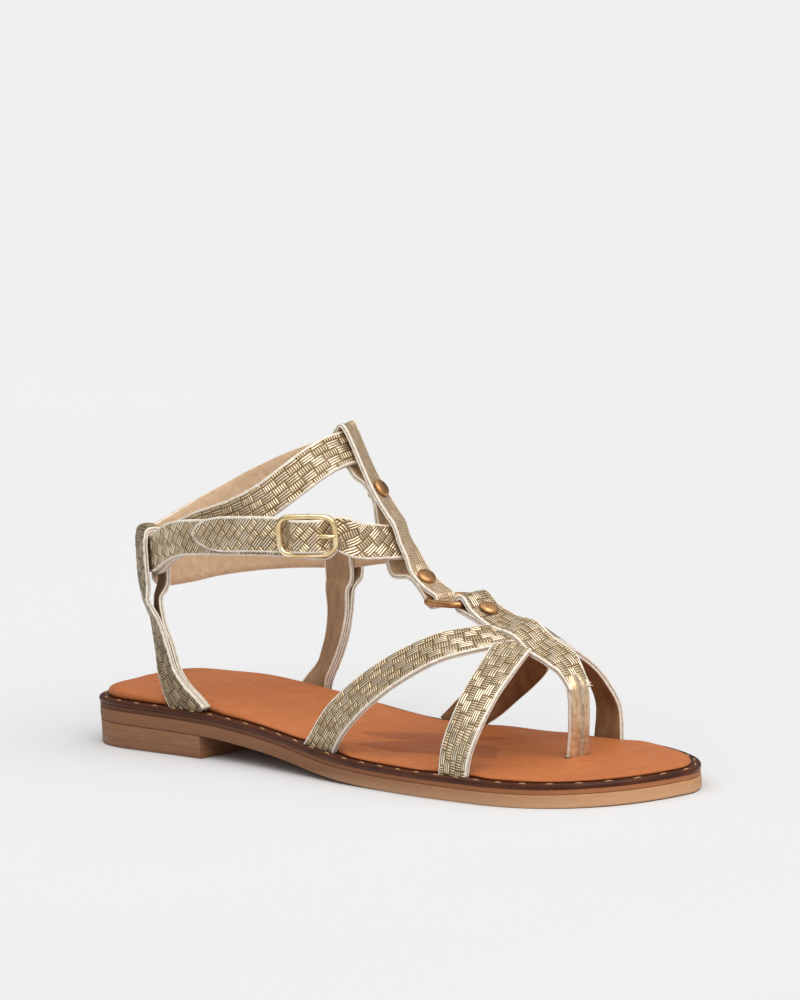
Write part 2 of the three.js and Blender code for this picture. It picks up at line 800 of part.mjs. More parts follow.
// Over the bar the strap narrows and rises through the buckle's frame.
function makeAnkleStrap() {
  const reach = buckleLength / 2 - buckleWire / 2;
  const through = [
    { forward: reach + 1.5, out: -0.2 },
    { forward: reach - 2.2, out: 0.12 },
    { forward: 3.2, out: humpOut - 0.35 },
    { forward: 0, out: humpOut },
    { forward: -3.2, out: humpOut - 0.25 },
    { forward: -reach + 2.2, out: 0.1 },
    { forward: -reach - 1.5, out: 0 },
  ];
  const over = through.map(({ forward, out }) => onBuckle(forward, 0, out));
  const points = [...wrapPoints(wrapRows), ...over, ...wrapPoints(billetRows)];
  const across = [
    ...wrapAcross(wrapRows), ...over.map(() => new THREE.Vector3(0, 0, 1)), ...wrapAcross(billetRows),
  ];
  const spans = points.length - 1;
  const buckleSpan = wrapRows.length + 3;
  const squeezed = openingHeight - 0.7;
  const widthAt = (t) => {
    const here = t * spans;
    const fromBuckle = Math.abs(here - buckleSpan);
    const free = THREE.MathUtils.lerp(squeezed, strapWidth, THREE.MathUtils.smoothstep(fromBuckle, 2, 3));
    const toTip = (spans - here) / 1.1;
    const rounding = toTip < 1 ? Math.sqrt(Math.max(1 - (1 - toTip) ** 2, 0.12)) : 1;
    const toEnd = here / 0.6;
    const endRound = toEnd < 1 ? Math.sqrt(Math.max(1 - (1 - toEnd) ** 2, 0.3)) : 1;
    return free * rounding * endRound;
  };
  const wrap = strap({ points, across, wall: strapWall, steps: 2, widthAt });
  const keeper = makeKeeper();
  const high = humpOut + strapWall;
  const keeperSlot = prongSlot({ from: -2.6, to: 5 }, { low: barOut - 0.2, high: prongMiddle });
  const strapHole = prongSlot({ from: 1.3, to: 8.2 }, { low: barOut - 0.2, high });
  return wrap.add(keeper).subtract(keeperSlot).subtract(strapHole);
}

// A short leather loop, stitched to the strap under the buckle, holds the buckle's bar.
function makeKeeper() {
  const low = -layerStep + strapWall / 2 + keeperWall / 2 - 0.55;
  const rows = [
    { forward: 4.6, out: low },
    { forward: 3.1, out: low + 0.35 },
    { forward: 1.5, out: keeperOut - 0.35 },
    { forward: 0, out: keeperOut },
    { forward: -1.5, out: keeperOut - 0.35 },
    { forward: -3.1, out: low + 0.35 },
    { forward: -4.6, out: low },
  ];
  const points = rows.map(({ forward, out }) => onBuckle(forward, 0, out));
  return strap({
    points,
    across: points.map(() => new THREE.Vector3(0, 0, 1)),
    width: openingHeight - 1.4,
    wall: keeperWall,
    steps: 2,
  });
}

// Middle of the gap between the keeper and the strap that passes over it.
const prongMiddle = barOut + prongRise + prongWire / 2 + 0.2;

function prongSlot({ from, to }, { low, high }) {
  const height = prongWire + 2 * seat;
  const corner = (forward, up, out) => onBuckle(forward, up, out);
  const end = (forward) => [
    corner(forward, -height / 2, low), corner(forward, height / 2, low),
    corner(forward, height / 2, high), corner(forward, -height / 2, high),
  ];
  return skin([end(from), end(to)]);
}

function roundSection(diameter, sides = 8) {
  return Array.from({ length: sides }, (_, i) => {
    const a = ((i + 0.5) / sides) * 2 * Math.PI;
    return [(diameter / 2) * Math.cos(a), (diameter / 2) * Math.sin(a)];
  });
}

// A closed wire loop with rounded corners, in a plane given by two directions.
function wireLoop({ at, length, height, corner, wire, normal }) {
  const x = (length - wire) / 2 - corner;
  const y = (height - wire) / 2 - corner;
  const points = [];
  [[x, y, 0], [-x, y, 90], [-x, -y, 180], [x, -y, 270]].forEach(([cx, cy, from]) => {
    for (let turn = 0; turn <= 90; turn += 22.5) {
      const a = THREE.MathUtils.degToRad(from + turn);
      points.push(at(cx + corner * Math.cos(a), cy + corner * Math.sin(a)));
    }
  });
  return strap({
    points, across: points.map(() => normal), steps: 1, closed: true, section: () => roundSection(wire),
  });
}

function makeBuckleFrame() {
  const frame = wireLoop({
    at: (forward, up) => onBuckle(forward, up, frameOut),
    length: buckleLength,
    height: buckleHeight,
    corner: 3.6,
    wire: buckleWire,
    normal: buckle.outward,
  });
  const half = (buckleHeight - buckleWire) / 2;
  const bar = strap({
    points: [onBuckle(0, -half - 0.4, barOut), onBuckle(0, half + 0.4, barOut)],
    across: [buckle.forward, buckle.forward],
    steps: 1,
    section: () => roundSection(barWire),
  });
  const lug = (sign) => strap({
    points: [onBuckle(0, sign * half, barOut - barWire / 2 + 0.1), onBuckle(0, sign * half, frameOut)],
    across: [buckle.forward, buckle.forward],
    steps: 1,
    section: () => roundSection(buckleWire * 0.9),
  });
  return frame.add(bar).add(lug(1)).add(lug(-1));
}

// The prong hooks over the bar, comes up through the strap and rests on the frame.
function makeProng() {
  const hook = prongRise;
  const points = [
    onBuckle(-hook, 0, barOut - 0.1),
    onBuckle(-hook * 0.7, 0, barOut + hook * 0.72),
    onBuckle(0, 0, barOut + hook),
    onBuckle(2.2, 0, barOut + hook + 0.35),
    onBuckle(5, 0, frameOut + 1.2),
    onBuckle(8, 0, frameOut + 2.1),
    onBuckle(10.9, 0, frameOut + buckleWire / 2 + seat + 0.9),
  ];
  const taper = (t) => prongWire * THREE.MathUtils.lerp(1, 0.62, THREE.MathUtils.smoothstep(t, 0.7, 1));
  return strap({
    points, across: points.map(() => buckle.up), steps: 2, section: (t) => roundSection(taper(t)),
  });
}

function makeRing() {
  const centre = new THREE.Vector3((ringFrontX + ringRearX) / 2, midlineAcross, ringZ);
  return wireLoop({
    at: (across, along) => centre.clone().add(new THREE.Vector3(along, across, 0)),
    length: ringLength,
    height: ringWidth,
    corner: 3,
    wire: ringWire,
    normal: new THREE.Vector3(0, 0, 1),
  });
}

// A band doubled on itself. Each row has the middle of both layers, the way out and half
// the distance between them; behind is the extra distance of the inner layer.
function doubled({ rows, foldStart, foldEnd }) {
  const outer = rows.map(({ middle, out, spread }) => middle.clone().addScaledVector(out, spread));
  const inner = rows.map(({ middle, out, spread, behind }) => (
    middle.clone().addScaledVector(out, -spread - behind)));
  return [...foldStart, ...outer, ...foldEnd, ...inner.reverse()];
}

// The instep loop runs up the instep on both sides of the ankle strap's two wraps.
const loopGap = (foldWall + seat) / 2 + 0.05;
const loopOpen = strapWall / 2 + foldWall / 2 + 0.75;
const loopBehind = 2.1; // room for the ankle strap, which turns back on the inner side
const loopYaw = 0.4; // the loop faces a little to the inner side, and more so at its top
const loopYawTop = 0.5;
const topWrapRise = 1.418;
const loopRows = [
  { rise: 1.418, spread: loopOpen, behind: loopBehind },
  { rise: 1.32, spread: loopOpen * 0.85, behind: 0.4 * loopBehind },
  { rise: 1.262, spread: loopGap, behind: 0 },
  { rise: 1.19, spread: loopGap, behind: 0 },
  { rise: 1.12, spread: loopOpen * 0.8, behind: loopBehind },
  { rise: 1.07, spread: loopOpen + 0.3, behind: loopBehind },
  { rise: 1, spread: loopOpen + 0.1, behind: 1.3 * loopBehind },
  { rise: 0.92, spread: loopOpen + 0.2, behind: 1.75 * loopBehind },
  { rise: 0.866, spread: loopGap, behind: 0 },
  { rise: 0.81, spread: loopGap, behind: 0 },
];
const lowerRivetRise = 0.84;
const upperRivetRise = 1.225;

function instepFrame(z) {
  const up = new THREE.Vector3(instepX(z + 2) - instepX(z - 2), 0, 4).normalize();
  const out = new THREE.Vector3(up.z, 0, -up.x);
  return { middle: new THREE.Vector3(instepX(z), ankleAcross, z), out, up };
}

function loopSide(rise) {
  const low = THREE.MathUtils.smoothstep(rise, 0.87, 1);
  const high = THREE.MathUtils.smoothstep(rise, 1.2, 1.36);
  return new THREE.Vector3(-THREE.MathUtils.lerp(loopYaw * low, loopYawTop, high), 1, 0);
}

function makeInstepLoop() {
  const rows = loopRows.map(({ rise, spread, behind }) => ({
    ...instepFrame(heightAt(rise)),
    spread,
    behind,
  }));
  const held = instepFrame(heightAt(topWrapRise));
  const leant = new THREE.Vector3(-instepLean, 0, 1).normalize();
  const ahead = new THREE.Vector3(leant.z, 0, -leant.x);
  const fold = (sideStep, rise) => held.middle.clone()
    .addScaledVector(ahead, sideStep * loopOpen)
    .addScaledVector(leant, strapWidth / 2 + rise);
  const crown = seat + foldWall / 2 + 0.5;
  const back = -1 - loopBehind / loopOpen;
  const over = [
    fold(back, -1.5), fold(0.75 * back, crown - 0.6), fold(0, crown), fold(0.75, crown - 0.6), fold(1, -1.5),
  ];
  const radius = ringWire / 2 + seat + foldWall / 2 + 0.08;
  const last = rows[rows.length - 1].middle;
  const leaves = THREE.MathUtils.radToDeg(Math.atan2(last.z - ringZ, last.x - ringRearX)) - 90;
  const round = [30, -10, -50, -90, -130, -170].map((turn) => {
    const a = THREE.MathUtils.degToRad(leaves + turn);
    return new THREE.Vector3(
      ringRearX + radius * Math.cos(a), ankleAcross, ringZ + radius * Math.sin(a));
  });
  const points = doubled({ rows, foldStart: over, foldEnd: round });
  return strap({
    points,
    across: points.map(({ z }) => loopSide(riseAt(z))),
    width: bandWidth,
    wall: foldWall,
    steps: 2,
    closed: true,
  });
}

function loopRivet(rise) {
  const { middle, up } = instepFrame(heightAt(rise));
  const out = loopSide(rise).cross(up).normalize();
  return { centre: middle, out, grip: 2 * loopGap + foldWall };
}

const rivetPlaces = {
  rivet_instep_upper: loopRivet(upperRivetRise),
  rivet_instep_lower: loopRivet(lowerRivetRise),
  rivet_centre_strap: centreRivet(),
};

function centreRivet() {
  const points = centrePoints();
  const along = points[2].clone().sub(points[0]).normalize();
  const out = new THREE.Vector3(-along.z, 0, along.x);
  const drop = (strapWall - 0.1) / 2;
  const centre = points[1].clone().lerp(points[2], 0.2).addScaledVector(out, -drop);
  return { centre, out, grip: 2 * strapWall + 0.4 };
}

// The heel straps rise from the heel seat to the loops that hold the ankle strap.
// All are shares of the ankle height; forward and inward are measured from the strap's foot.
const heelStrapRows = {
  lateral: [
    { rise: 0.27, forward: -0.07, inward: 0, facing: 3, spread: 0 },
    { rise: 0.363, forward: -0.133, inward: 0.004, facing: 13, spread: 0 },
    { rise: 0.484, forward: -0.173, inward: 0.013, facing: 21, spread: 0 },
    { rise: 0.605, forward: -0.222, inward: 0.023, facing: 28, spread: 0 },
    { rise: 0.7, forward: -0.26, inward: 0.033, facing: 33, spread: 0.5 },
  ],
  medial: [
    { rise: 0.296, forward: 0.048, inward: -0.015, facing: -21, spread: 0 },
    { rise: 0.37, forward: 0.083, inward: -0.026, facing: -20, spread: 0 },
    { rise: 0.47, forward: 0.116, inward: -0.042, facing: -16, spread: 0 },
    { rise: 0.578, forward: 0.128, inward: -0.058, facing: -11, spread: 0 },
    { rise: 0.68, forward: 0.124, inward: -0.072, facing: -6, spread: 0.3 },
  ],
};

function heelStrap({ foot, rows, turn, rise, layers, play }) {
  const { sign } = foot;
  const base = footOf(foot, strapInset - 0.2);
  const facing = (degrees) => {
    const a = THREE.MathUtils.degToRad(degrees);
    return new THREE.Vector3(-Math.sin(a), sign * Math.cos(a), 0);
  };
  const closedGap = (foldWall + seat) / 2;
  const openGap = (layers * layerStep - 0.4) / 2 + foldWall / 2 + 0.65;
  const held = ankleAt(turn, rise * ankleHeight, ((layers - 1) * layerStep) / 2);
  const loop = (height, spread) => ({
    middle: held.point.clone().setZ(held.point.z + height), out: held.outward, spread,
  });
  const legs = rows.map(({ rise: share, forward, inward, facing: degrees, spread }) => ({
    middle: new THREE.Vector3(
      base.x + forward * ankleHeight, base.y - sign * inward * ankleHeight, share * ankleHeight),
    out: facing(degrees),
    spread: THREE.MathUtils.lerp(closedGap, openGap, spread),
  }));
  const half = strapWidth / 2;
  const holds = [loop(-half - 3.6, openGap), loop(0, openGap + 0.2), loop(half, openGap)];
  const fold = [0.72, 0, -0.72].map((step) => held.point.clone()
    .addScaledVector(held.outward, step * openGap)
    .setZ(held.point.z + half + play + foldWall / 2 + (step === 0 ? 0.6 : 0)));
  const start = { middle: base, out: facing(0), spread: closedGap };
  const below = { ...start, middle: past(base, legs[0].middle) };
  const up = [below, start, ...legs, ...holds];
  const outer = up.map(({ middle, out, spread }) => middle.clone().addScaledVector(out, spread));
  const inner = up.map(({ middle, out, spread }) => middle.clone().addScaledVector(out, -spread));
  const points = [...outer, ...fold, ...inner.reverse()];
  const wide = ({ out }) => new THREE.Vector3(-out.y, out.x, 0).multiplyScalar(-sign);
  const across = [
    ...up.map(wide), ...fold.map(() => wide({ out: held.outward })), ...up.map(wide).reverse(),
  ];
  return strap({ points, across, width: heelStrapWidth, wall: foldWall, steps: 2 }).subtract(soleClearance());
}

function makeUpper() {
  const upperStrap = vampStrap(upperVampRows, strapFeet.vampRearLateral, strapFeet.vampFrontMedial);
  const lowerStrap = vampStrap(lowerVampRows, strapFeet.vampFrontLateral, strapFeet.vampRearMedial);
  return upperStrap.add(lowerStrap).add(makeCentreStrap()).subtract(holeAt(rivetPlaces.rivet_centre_strap));
}

const materials = {
  outsole: { color: '#b98a62', roughness: 0.7, metalness: 0 },
  midsole: { color: '#7d543c', roughness: 0.6, metalness: 0 },
  welt: { color: '#5e3320', roughness: 0.5, metalness: 0 },
  heel: { color: '#745440', roughness: 0.6, metalness: 0 },
  footbed: { color: '#c27a48', roughness: 0.6, metalness: 0 },
  strap: { color: '#b29c72', roughness: 0.35, metalness: 0.7 },
  ring: { color: '#c98f62', roughness: 0.25, metalness: 1 },
  buckle: { color: '#d9b877', roughness: 0.25, metalness: 1 },
  rivet: { color: '#c08a60', roughness: 0.3, metalness: 1 },
};

const sandal = new THREE.Group();

function addPart(name, body, look) {
  const { vertProperties, numProp, triVerts } = body.getMesh();
  const shape = new THREE.BufferGeometry();
  const flat = new Float32Array((vertProperties.length / numProp) * 3);
  for (let i = 0; i < flat.length / 3; i += 1) {
    flat.set(vertProperties.subarray(i * numProp, i * numProp + 3), i * 3);
  }
  shape.setAttribute('position', new THREE.BufferAttribute(flat, 3));
  shape.setIndex(Array.from(triVerts));
  shape.computeVertexNormals();
  const mesh = new THREE.Mesh(shape, new THREE.MeshStandardMaterial(materials[look]));
  mesh.name = name;
  sandal.add(mesh);
}

addPart('outsole', makeOutsole(), 'outsole');
addPart('midsole', makeMidsole(), 'midsole');
addPart('welt', makeWelt(), 'welt');
addPart('heel', makeHeel(), 'heel');
addPart('footbed', makeFootbed(), 'footbed');
addPart('upper', makeUpper(), 'strap');
addPart('instep_loop', makeInstepLoop()
  .subtract(holeAt(rivetPlaces.rivet_instep_upper))
  .subtract(holeAt(rivetPlaces.rivet_instep_lower)), 'strap');
addPart('ankle_strap', makeAnkleStrap(), 'strap');
addPart('heel_strap_lateral', heelStrap({
  foot: strapFeet.heelLateral, rows: heelStrapRows.lateral, turn: 135, rise: 0.9, layers: 2, play: 2.1,
}), 'strap');
addPart('heel_strap_medial', heelStrap({
  foot: strapFeet.heelMedial, rows: heelStrapRows.medial, turn: 262, rise: 0.858, layers: 1, play: 0.9,
}), 'strap');
addPart('ring', makeRing(), 'ring');
addPart('buckle_frame', makeBuckleFrame(), 'buckle');
addPart('buckle_prong', makeProng(), 'buckle');
Object.entries(rivetPlaces).forEach(([name, spot]) => addPart(name, rivetAt(spot), 'rivet'));

export default sandal;
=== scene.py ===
# Gladiator sandal, right foot: every piece of the frame gets its looks here.
# Lengths are in millimetres until a mesh is made. +X is the toe, +Y the inner side, +Z up.
from contextlib import contextmanager
from math import atan2, cos, degrees, pi, radians, sin, sqrt

import bmesh
import bpy
import numpy as np
from mathutils import Matrix, Vector


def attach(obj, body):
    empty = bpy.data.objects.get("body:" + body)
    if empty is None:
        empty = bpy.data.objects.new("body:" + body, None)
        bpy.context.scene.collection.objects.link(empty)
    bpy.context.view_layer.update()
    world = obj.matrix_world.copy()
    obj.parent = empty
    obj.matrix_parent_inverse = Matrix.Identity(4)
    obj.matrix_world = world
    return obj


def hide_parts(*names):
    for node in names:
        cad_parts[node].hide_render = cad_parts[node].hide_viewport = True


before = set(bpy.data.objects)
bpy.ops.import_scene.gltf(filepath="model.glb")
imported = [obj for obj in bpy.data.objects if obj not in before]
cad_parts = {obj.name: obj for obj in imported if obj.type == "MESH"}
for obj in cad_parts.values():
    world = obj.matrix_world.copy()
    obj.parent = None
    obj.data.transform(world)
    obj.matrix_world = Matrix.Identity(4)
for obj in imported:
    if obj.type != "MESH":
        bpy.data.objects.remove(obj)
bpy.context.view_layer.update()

MM = 0.001
same_place = 2e-6

# Sizes of the shoe, as in the part's source
sole_length = 264.5
ball_width = 81.4
heel_overhang = 35.5
heel_lift = 7.75
heel_length = 64.5
toe_spring = 0.3
outsole_thickness = 4.4
midsole_thickness = 1.3
welt_thickness = 1.6
welt_width = 8.0
welt_groove = 1.55
stitch_pitch = 9.6
pad_at_heel = 3.4
pad_at_toe = 1.3
footbed_inset = 3.1
footbed_pinch = 1.6
instep_height = 39.2
strap_width = 12.0
vamp_width = 13.0
heel_strap_width = 12.6
strap_wall = 1.8
band_width = 8.6
fold_wall = 1.5
post_width = 8.4
post_depth = 5.0
post_along = 0.8234
strap_inset = 3.3
midline_across = 2.6
ankle_height = 74.4
ankle_width = 61.6
ankle_back = -12.0
ankle_across = 2.2
ring_length = 18.2
ring_width = 17.7
ring_wire = 2.2
rivet_cap = 6.4
buckle_length = 21.6
buckle_height = 14.4
buckle_wire = 2.0
buckle_bend = 46
bar_wire = 1.6
prong_wire = 1.4
seat = 0.3
rivet_seat = 0.42
sole_stack = outsole_thickness + midsole_thickness + welt_thickness + 2 * seat
layer_step = strap_wall + 0.4


def lerp(a, b, t):
    return a + (b - a) * t


def smooth(value, low, high):
    t = np.clip((value - low) / (high - low), 0, 1)
    return t * t * (3 - 2 * t)


def vec(*xyz):
    return np.array(xyz, float)


inward, upward = vec(0, 1, 0), vec(0, 0, 1)


def unit(v):
    v = np.asarray(v, float)
    return v / np.linalg.norm(v, axis=-1, keepdims=True)


def column(places, values):
    """A smooth curve through values at places, flat beyond its ends, as in the part's source."""
    xs, ys = np.array(places, float), np.array(values, float)
    last = len(xs) - 1
    slope = np.array([
        (ys[min(k + 1, last)] - ys[max(k - 1, 0)]) / (xs[min(k + 1, last)] - xs[max(k - 1, 0)])
        for k in range(last + 1)])

    def value(at):
        at = np.asarray(at, float)
        i = np.clip(np.searchsorted(xs, at, side="left") - 1, 0, last - 1)
        step = xs[i + 1] - xs[i]
        t = np.clip((at - xs[i]) / step, 0, 1)
        rise = t * t * (3 - 2 * t)
        leave = t * (1 - t) ** 2 * step * slope[i]
        arrive = t * t * (t - 1) * step * slope[i + 1]
        return ys[i] + (ys[i + 1] - ys[i]) * rise + leave + arrive
    return value


side_along = [0.1331, 0.2189, 0.3333, 0.4476, 0.5428, 0.6381, 0.7143, 0.7906]
lateral_share = column(side_along, [0.345, 0.347, 0.364, 0.41, 0.454, 0.479, 0.494, 0.495])
medial_share = column(side_along, [0.345, 0.356, 0.32, 0.308, 0.408, 0.454, 0.476, 0.478])
arch_share = column([0, 0.2437, 0.3141, 0.3713, 0.4285, 0.4856, 0.5428, 0.6, 0.6571],
                    [1.1, 1, 0.865, 0.72, 0.53, 0.285, 0.115, 0.03, 0])
instep_forward = column(
    [0.74, 0.8, 0.84, 0.919, 1, 1.081, 1.156, 1.237, 1.31, 1.391, 1.472],
    [0.5952, 0.5781, 0.5629, 0.5372, 0.5214, 0.51, 0.4956, 0.4818, 0.4623, 0.4474, 0.4342])
heel_end, heel_squareness = 0.1331, 3.3
toe_end, lateral_squareness, medial_squareness, toe_tip = 0.7906, 2.38, 1.66, 0.11


def along_at(x):
    return (x + heel_overhang) / sole_length


def x_at(along):
    return along * sole_length - heel_overhang


def sole_bottom(x):
    share = along_at(x)
    return heel_lift * arch_share(share) + toe_spring * smooth(share, 0.883, 1)


def welt_top(x):
    return sole_bottom(x) + sole_stack


def pad_at(x):
    return lerp(pad_at_heel, pad_at_toe, smooth(along_at(x), 0.137, 0.412))


def footbed_top(x):
    return welt_top(x) + seat + pad_at(x)


def power(value, squareness):
    return np.sign(value) * np.abs(value) ** (2 / squareness)


def sole_outline(toe_steps=44, side_steps=60, heel_steps=60):
    at, spine = [], []
    toe_x, heel_x = x_at(toe_end), x_at(heel_end)
    toe_reach, heel_reach = x_at(1) - toe_x, heel_x - x_at(0)
    tip_y = toe_tip * ball_width
    share = {1: medial_share, -1: lateral_share}

    def middle(along):
        return float((medial_share(along) - lateral_share(along)) / 2) * ball_width

    def toe_arc(sign, squareness, turn):
        wide = sign * share[sign](toe_end) * ball_width - tip_y
        at.append((toe_x + toe_reach * power(cos(turn), squareness),
                   tip_y + wide * power(sin(turn), squareness)))
        spine.append((toe_x, middle(toe_end)))

    def edge(sign, along):
        at.append((x_at(along), sign * share[sign](along) * ball_width))
        spine.append((x_at(along), middle(along)))

    for i in range(toe_steps):
        toe_arc(1, medial_squareness, i / toe_steps * pi / 2)
    for i in range(side_steps):
        edge(1, lerp(toe_end, heel_end, i / side_steps))
    for i in range(heel_steps):
        turn = pi / 2 + i / heel_steps * pi
        sign = 1 if sin(turn) >= 0 else -1
        wide = share[sign](heel_end) * ball_width
        at.append((heel_x + heel_reach * power(cos(turn), heel_squareness),
                   wide * power(sin(turn), heel_squareness)))
        spine.append((heel_x, middle(heel_end)))
    for i in range(side_steps):
        edge(-1, lerp(heel_end, toe_end, i / side_steps))
    for i in range(toe_steps):
        toe_arc(-1, lateral_squareness, (1 - i / toe_steps) * pi / 2)
    at, spine = np.array(at, float), np.array(spine, float)
    run = unit(np.roll(at, -1, 0) - np.roll(at, 1, 0))
    near = np.linalg.norm(at[:, None] - at[None], axis=2) < 5
    run = unit(near @ run)
    return at, spine, np.column_stack([-run[:, 1], run[:, 0]])


outline, outline_spine, outline_inward = sole_outline()

strap_feet = {
    "heel_lateral": (0.217, -1), "heel_medial": (0.2439, 1),
    "vamp_rear_lateral": (0.4938, -1), "vamp_rear_medial": (0.5102, 1),
    "vamp_front_lateral": (0.761, -1), "vamp_front_medial": (0.7487, 1),
}


def foot_of(foot, inset=strap_inset):
    along, sign = foot
    share = medial_share if sign > 0 else lateral_share
    x = x_at(along)
    return vec(x, sign * (float(share(along)) * ball_width - inset), float(welt_top(x)) + seat)


def pinch_at(xy):
    most = np.zeros(len(xy))
    for along, sign in strap_feet.values():
        away = np.abs(xy[:, 0] - x_at(along)) / strap_width
        here = np.where(np.sign(xy[:, 1]) == sign, 1 - smooth(away, 0.6, 1.5), 0)
        most = np.maximum(most, here)
    return most


# Meshes

def smooth_all(mesh, angle=None):
    mesh.polygons.foreach_set("use_smooth", np.ones(len(mesh.polygons), bool))
    if angle is not None:
        mesh.set_sharp_from_angle(angle=radians(angle))


@contextmanager
def edited(mesh):
    """Opens a mesh for changes and writes them back."""
    bm = bmesh.new()
    bm.from_mesh(mesh)
    yield bm
    bm.to_mesh(mesh)
    bm.free()


def grid_mesh(grid, closed_rows=False, caps=True, uv=None, kinds=None, angle=None, merge=True):
    """A mesh over rows of points; each row is closed. uv has one more column than the grid."""
    rows, size = grid.shape[:2]
    bands = rows if closed_rows else rows - 1
    i, k = np.meshgrid(np.arange(bands), np.arange(size), indexing="ij")
    j, l = (i + 1) % rows, (k + 1) % size
    quads = np.stack([i * size + k, i * size + l, j * size + l, j * size + k], -1).reshape(-1, 4)
    points = grid.reshape(-1, 3)
    a, b, c, d = (points[quads[:, n]] for n in range(4))
    volume = (a * np.cross(b, c)).sum() + (a * np.cross(c, d)).sum()
    flip = volume < 0
    corner = [(i, k, k), (i, l, k + 1), (j, l, k + 1), (j, k, k)]
    if flip:
        quads = quads[:, ::-1]
        corner = corner[::-1]
    faces = quads.tolist()
    ends = []
    if caps and not closed_rows:
        first, last = list(range(size)), list(range((rows - 1) * size, rows * size))
        ends = [first, last[::-1]] if flip else [first[::-1], last]
    mesh = bpy.data.meshes.new("mesh")
    mesh.from_pydata((points * MM).tolist(), [], faces + ends)
    if uv is not None:
        flat = np.stack([uv[r, c2] for r, _, c2 in corner], 2).reshape(-1, 2)
        if ends:
            flat = np.vstack([flat, np.tile(uv[0, 0], (size, 1)), np.tile(uv[-1, 0], (size, 1))])
        mesh.uv_layers.new(name="strap").data.foreach_set("uv", flat.astype(np.float32).ravel())
    if kinds is not None:
        index = kinds[:bands].reshape(-1)
        if ends:
            index = np.concatenate([index, [1, 1]])
        mesh.polygons.foreach_set("material_index", index.astype(np.int32))
    smooth_all(mesh)
    if merge:
        with edited(mesh) as bm:
            bmesh.ops.remove_doubles(bm, verts=bm.verts, dist=same_place)
    if angle is not None:
        mesh.set_sharp_from_angle(angle=radians(angle))
    return mesh


def placed(name, data):
    obj = bpy.data.objects.new(name, data)
    bpy.context.scene.collection.objects.link(obj)
    return obj


def piece(name, mesh, slot, materials, *nodes):
    """A visible piece on the shoe's one body; nodes are the solids that it replaces."""
    mesh.name = name
    obj = placed(name, mesh)
    for material in materials:
        mesh.materials.append(material)
    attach(obj, "root")
    if nodes:
        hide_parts(*nodes)
    return obj


def layer(rings, closed=False):
    """A layer of the sole: each ring has an inset, a pull to the spine and a height over the sole's bottom.

    A height may also be a function that gives the height over the floor.
    """
    rows = []
    for inset, pull, height in rings:
        flat = lerp(outline + outline_inward * inset, outline_spine, pull)
        x = flat[:, 0]
        rows.append(np.column_stack([flat, height(x) if callable(height) else sole_bottom(x) + height]))
    return grid_mesh(np.array(rows), closed_rows=closed, caps=False, angle=35)


# Curves

def spline(points, t, closed=False, kind="centripetal"):
    pts = np.asarray(points, float)
    n = len(pts)
    t = np.asarray(t, float)
    p = t * (n if closed else n - 1)
    i = np.floor(p).astype(int)
    if not closed:
        i = np.clip(i, 0, n - 2)
    w = (p - i)[:, None]
    if closed:
        p0, p1, p2, p3 = (pts[(i + d) % n] for d in (-1, 0, 1, 2))
    else:
        ext = np.vstack([2 * pts[0] - pts[1], pts, 2 * pts[-1] - pts[-2]])
        p0, p1, p2, p3 = (ext[i + d] for d in (0, 1, 2, 3))
    if kind == "centripetal":
        d0, d1, d2 = (np.sqrt(np.linalg.norm(b - a, axis=1))[:, None]
                      for a, b in ((p0, p1), (p1, p2), (p2, p3)))
        d1 = np.where(d1 < 1e-4, 1, d1)
        d0 = np.where(d0 < 1e-4, d1, d0)
        d2 = np.where(d2 < 1e-4, d1, d2)
        m1 = ((p1 - p0) / d0 - (p2 - p0) / (d0 + d1) + (p2 - p1) / d1) * d1
        m2 = ((p2 - p1) / d1 - (p3 - p1) / (d1 + d2) + (p3 - p2) / d2) * d1
    else:
        m1, m2 = 0.5 * (p2 - p0), 0.5 * (p3 - p1)
    return (p1 + m1 * w + (3 * (p2 - p1) - 2 * m1 - m2) * w ** 2
            + (2 * (p1 - p2) + m1 + m2) * w ** 3)


class Run:
    """A path with its width direction and outward direction, at even steps of its length."""

    def __init__(self, points, across, closed=False, pitch=0.4):
        points, across = np.array(points, float), np.array(across, float)
        self.spans = len(points) if closed else len(points) - 1
        dense = np.linspace(0, 1, self.spans * 40 + 1)
        run = spline(points, dense, closed)
        length = np.concatenate([[0], np.cumsum(np.linalg.norm(np.diff(run, axis=0), axis=1))])
        count = max(int(round(length[-1] / pitch)), 2)
        s = np.linspace(0, length[-1], count + 1)
        if closed:
            s = s[:-1]
        self.length, self.closed, self.s = length[-1], closed, s
        self.t = np.interp(s, length, dense)
        self.centre = spline(points, self.t, closed)
        before = spline(points, np.clip(self.t - 1e-4, 0, 1), closed)
        after = spline(points, np.clip(self.t + 1e-4, 0, 1), closed)
        self.along = unit(after - before)
        side = spline(across, self.t, closed, "catmullrom")
        self.side = unit(side - (side * self.along).sum(1, keepdims=True) * self.along)
        self.out = np.cross(self.along, self.side)

    def facing(self, way):
        """Turns the outer side of the strap to the given way at its first third."""
        if self.out[len(self.s) // 8].dot(way) < 0:
            self.side, self.out = -self.side, -self.out
        return self


# Woven leather: strands of three ribs, two over and two under in a broken order

strand = 2.6
cut_edge, cut_end = 0.72, 0.9
weave_turns = 7.5, 27.5
# Kinds of face; the gap is the groove between outer leather and lining, coloured dark as painted shade.
GOLD, CREAM, SHADED_GAP, LINING = 0, 1, 2, 3


def weave_height(u, v):
    iu, iv = np.floor(u / strand), np.floor(v / strand)
    fu, fv = u / strand - iu, v / strand - iv
    m = np.mod(iu + 2 * iv + np.floor(np.mod(iv, 4) / 2), 4)
    warp = m < 2
    p = np.where(warp, (m + fu) / 2, fv)
    q = np.where(warp, fv, fu)
    return (1 - np.abs(2 * p - 1) ** 4) * (0.35 + 0.65 * np.sqrt(np.clip(np.sin(np.pi * q), 0, 1)))


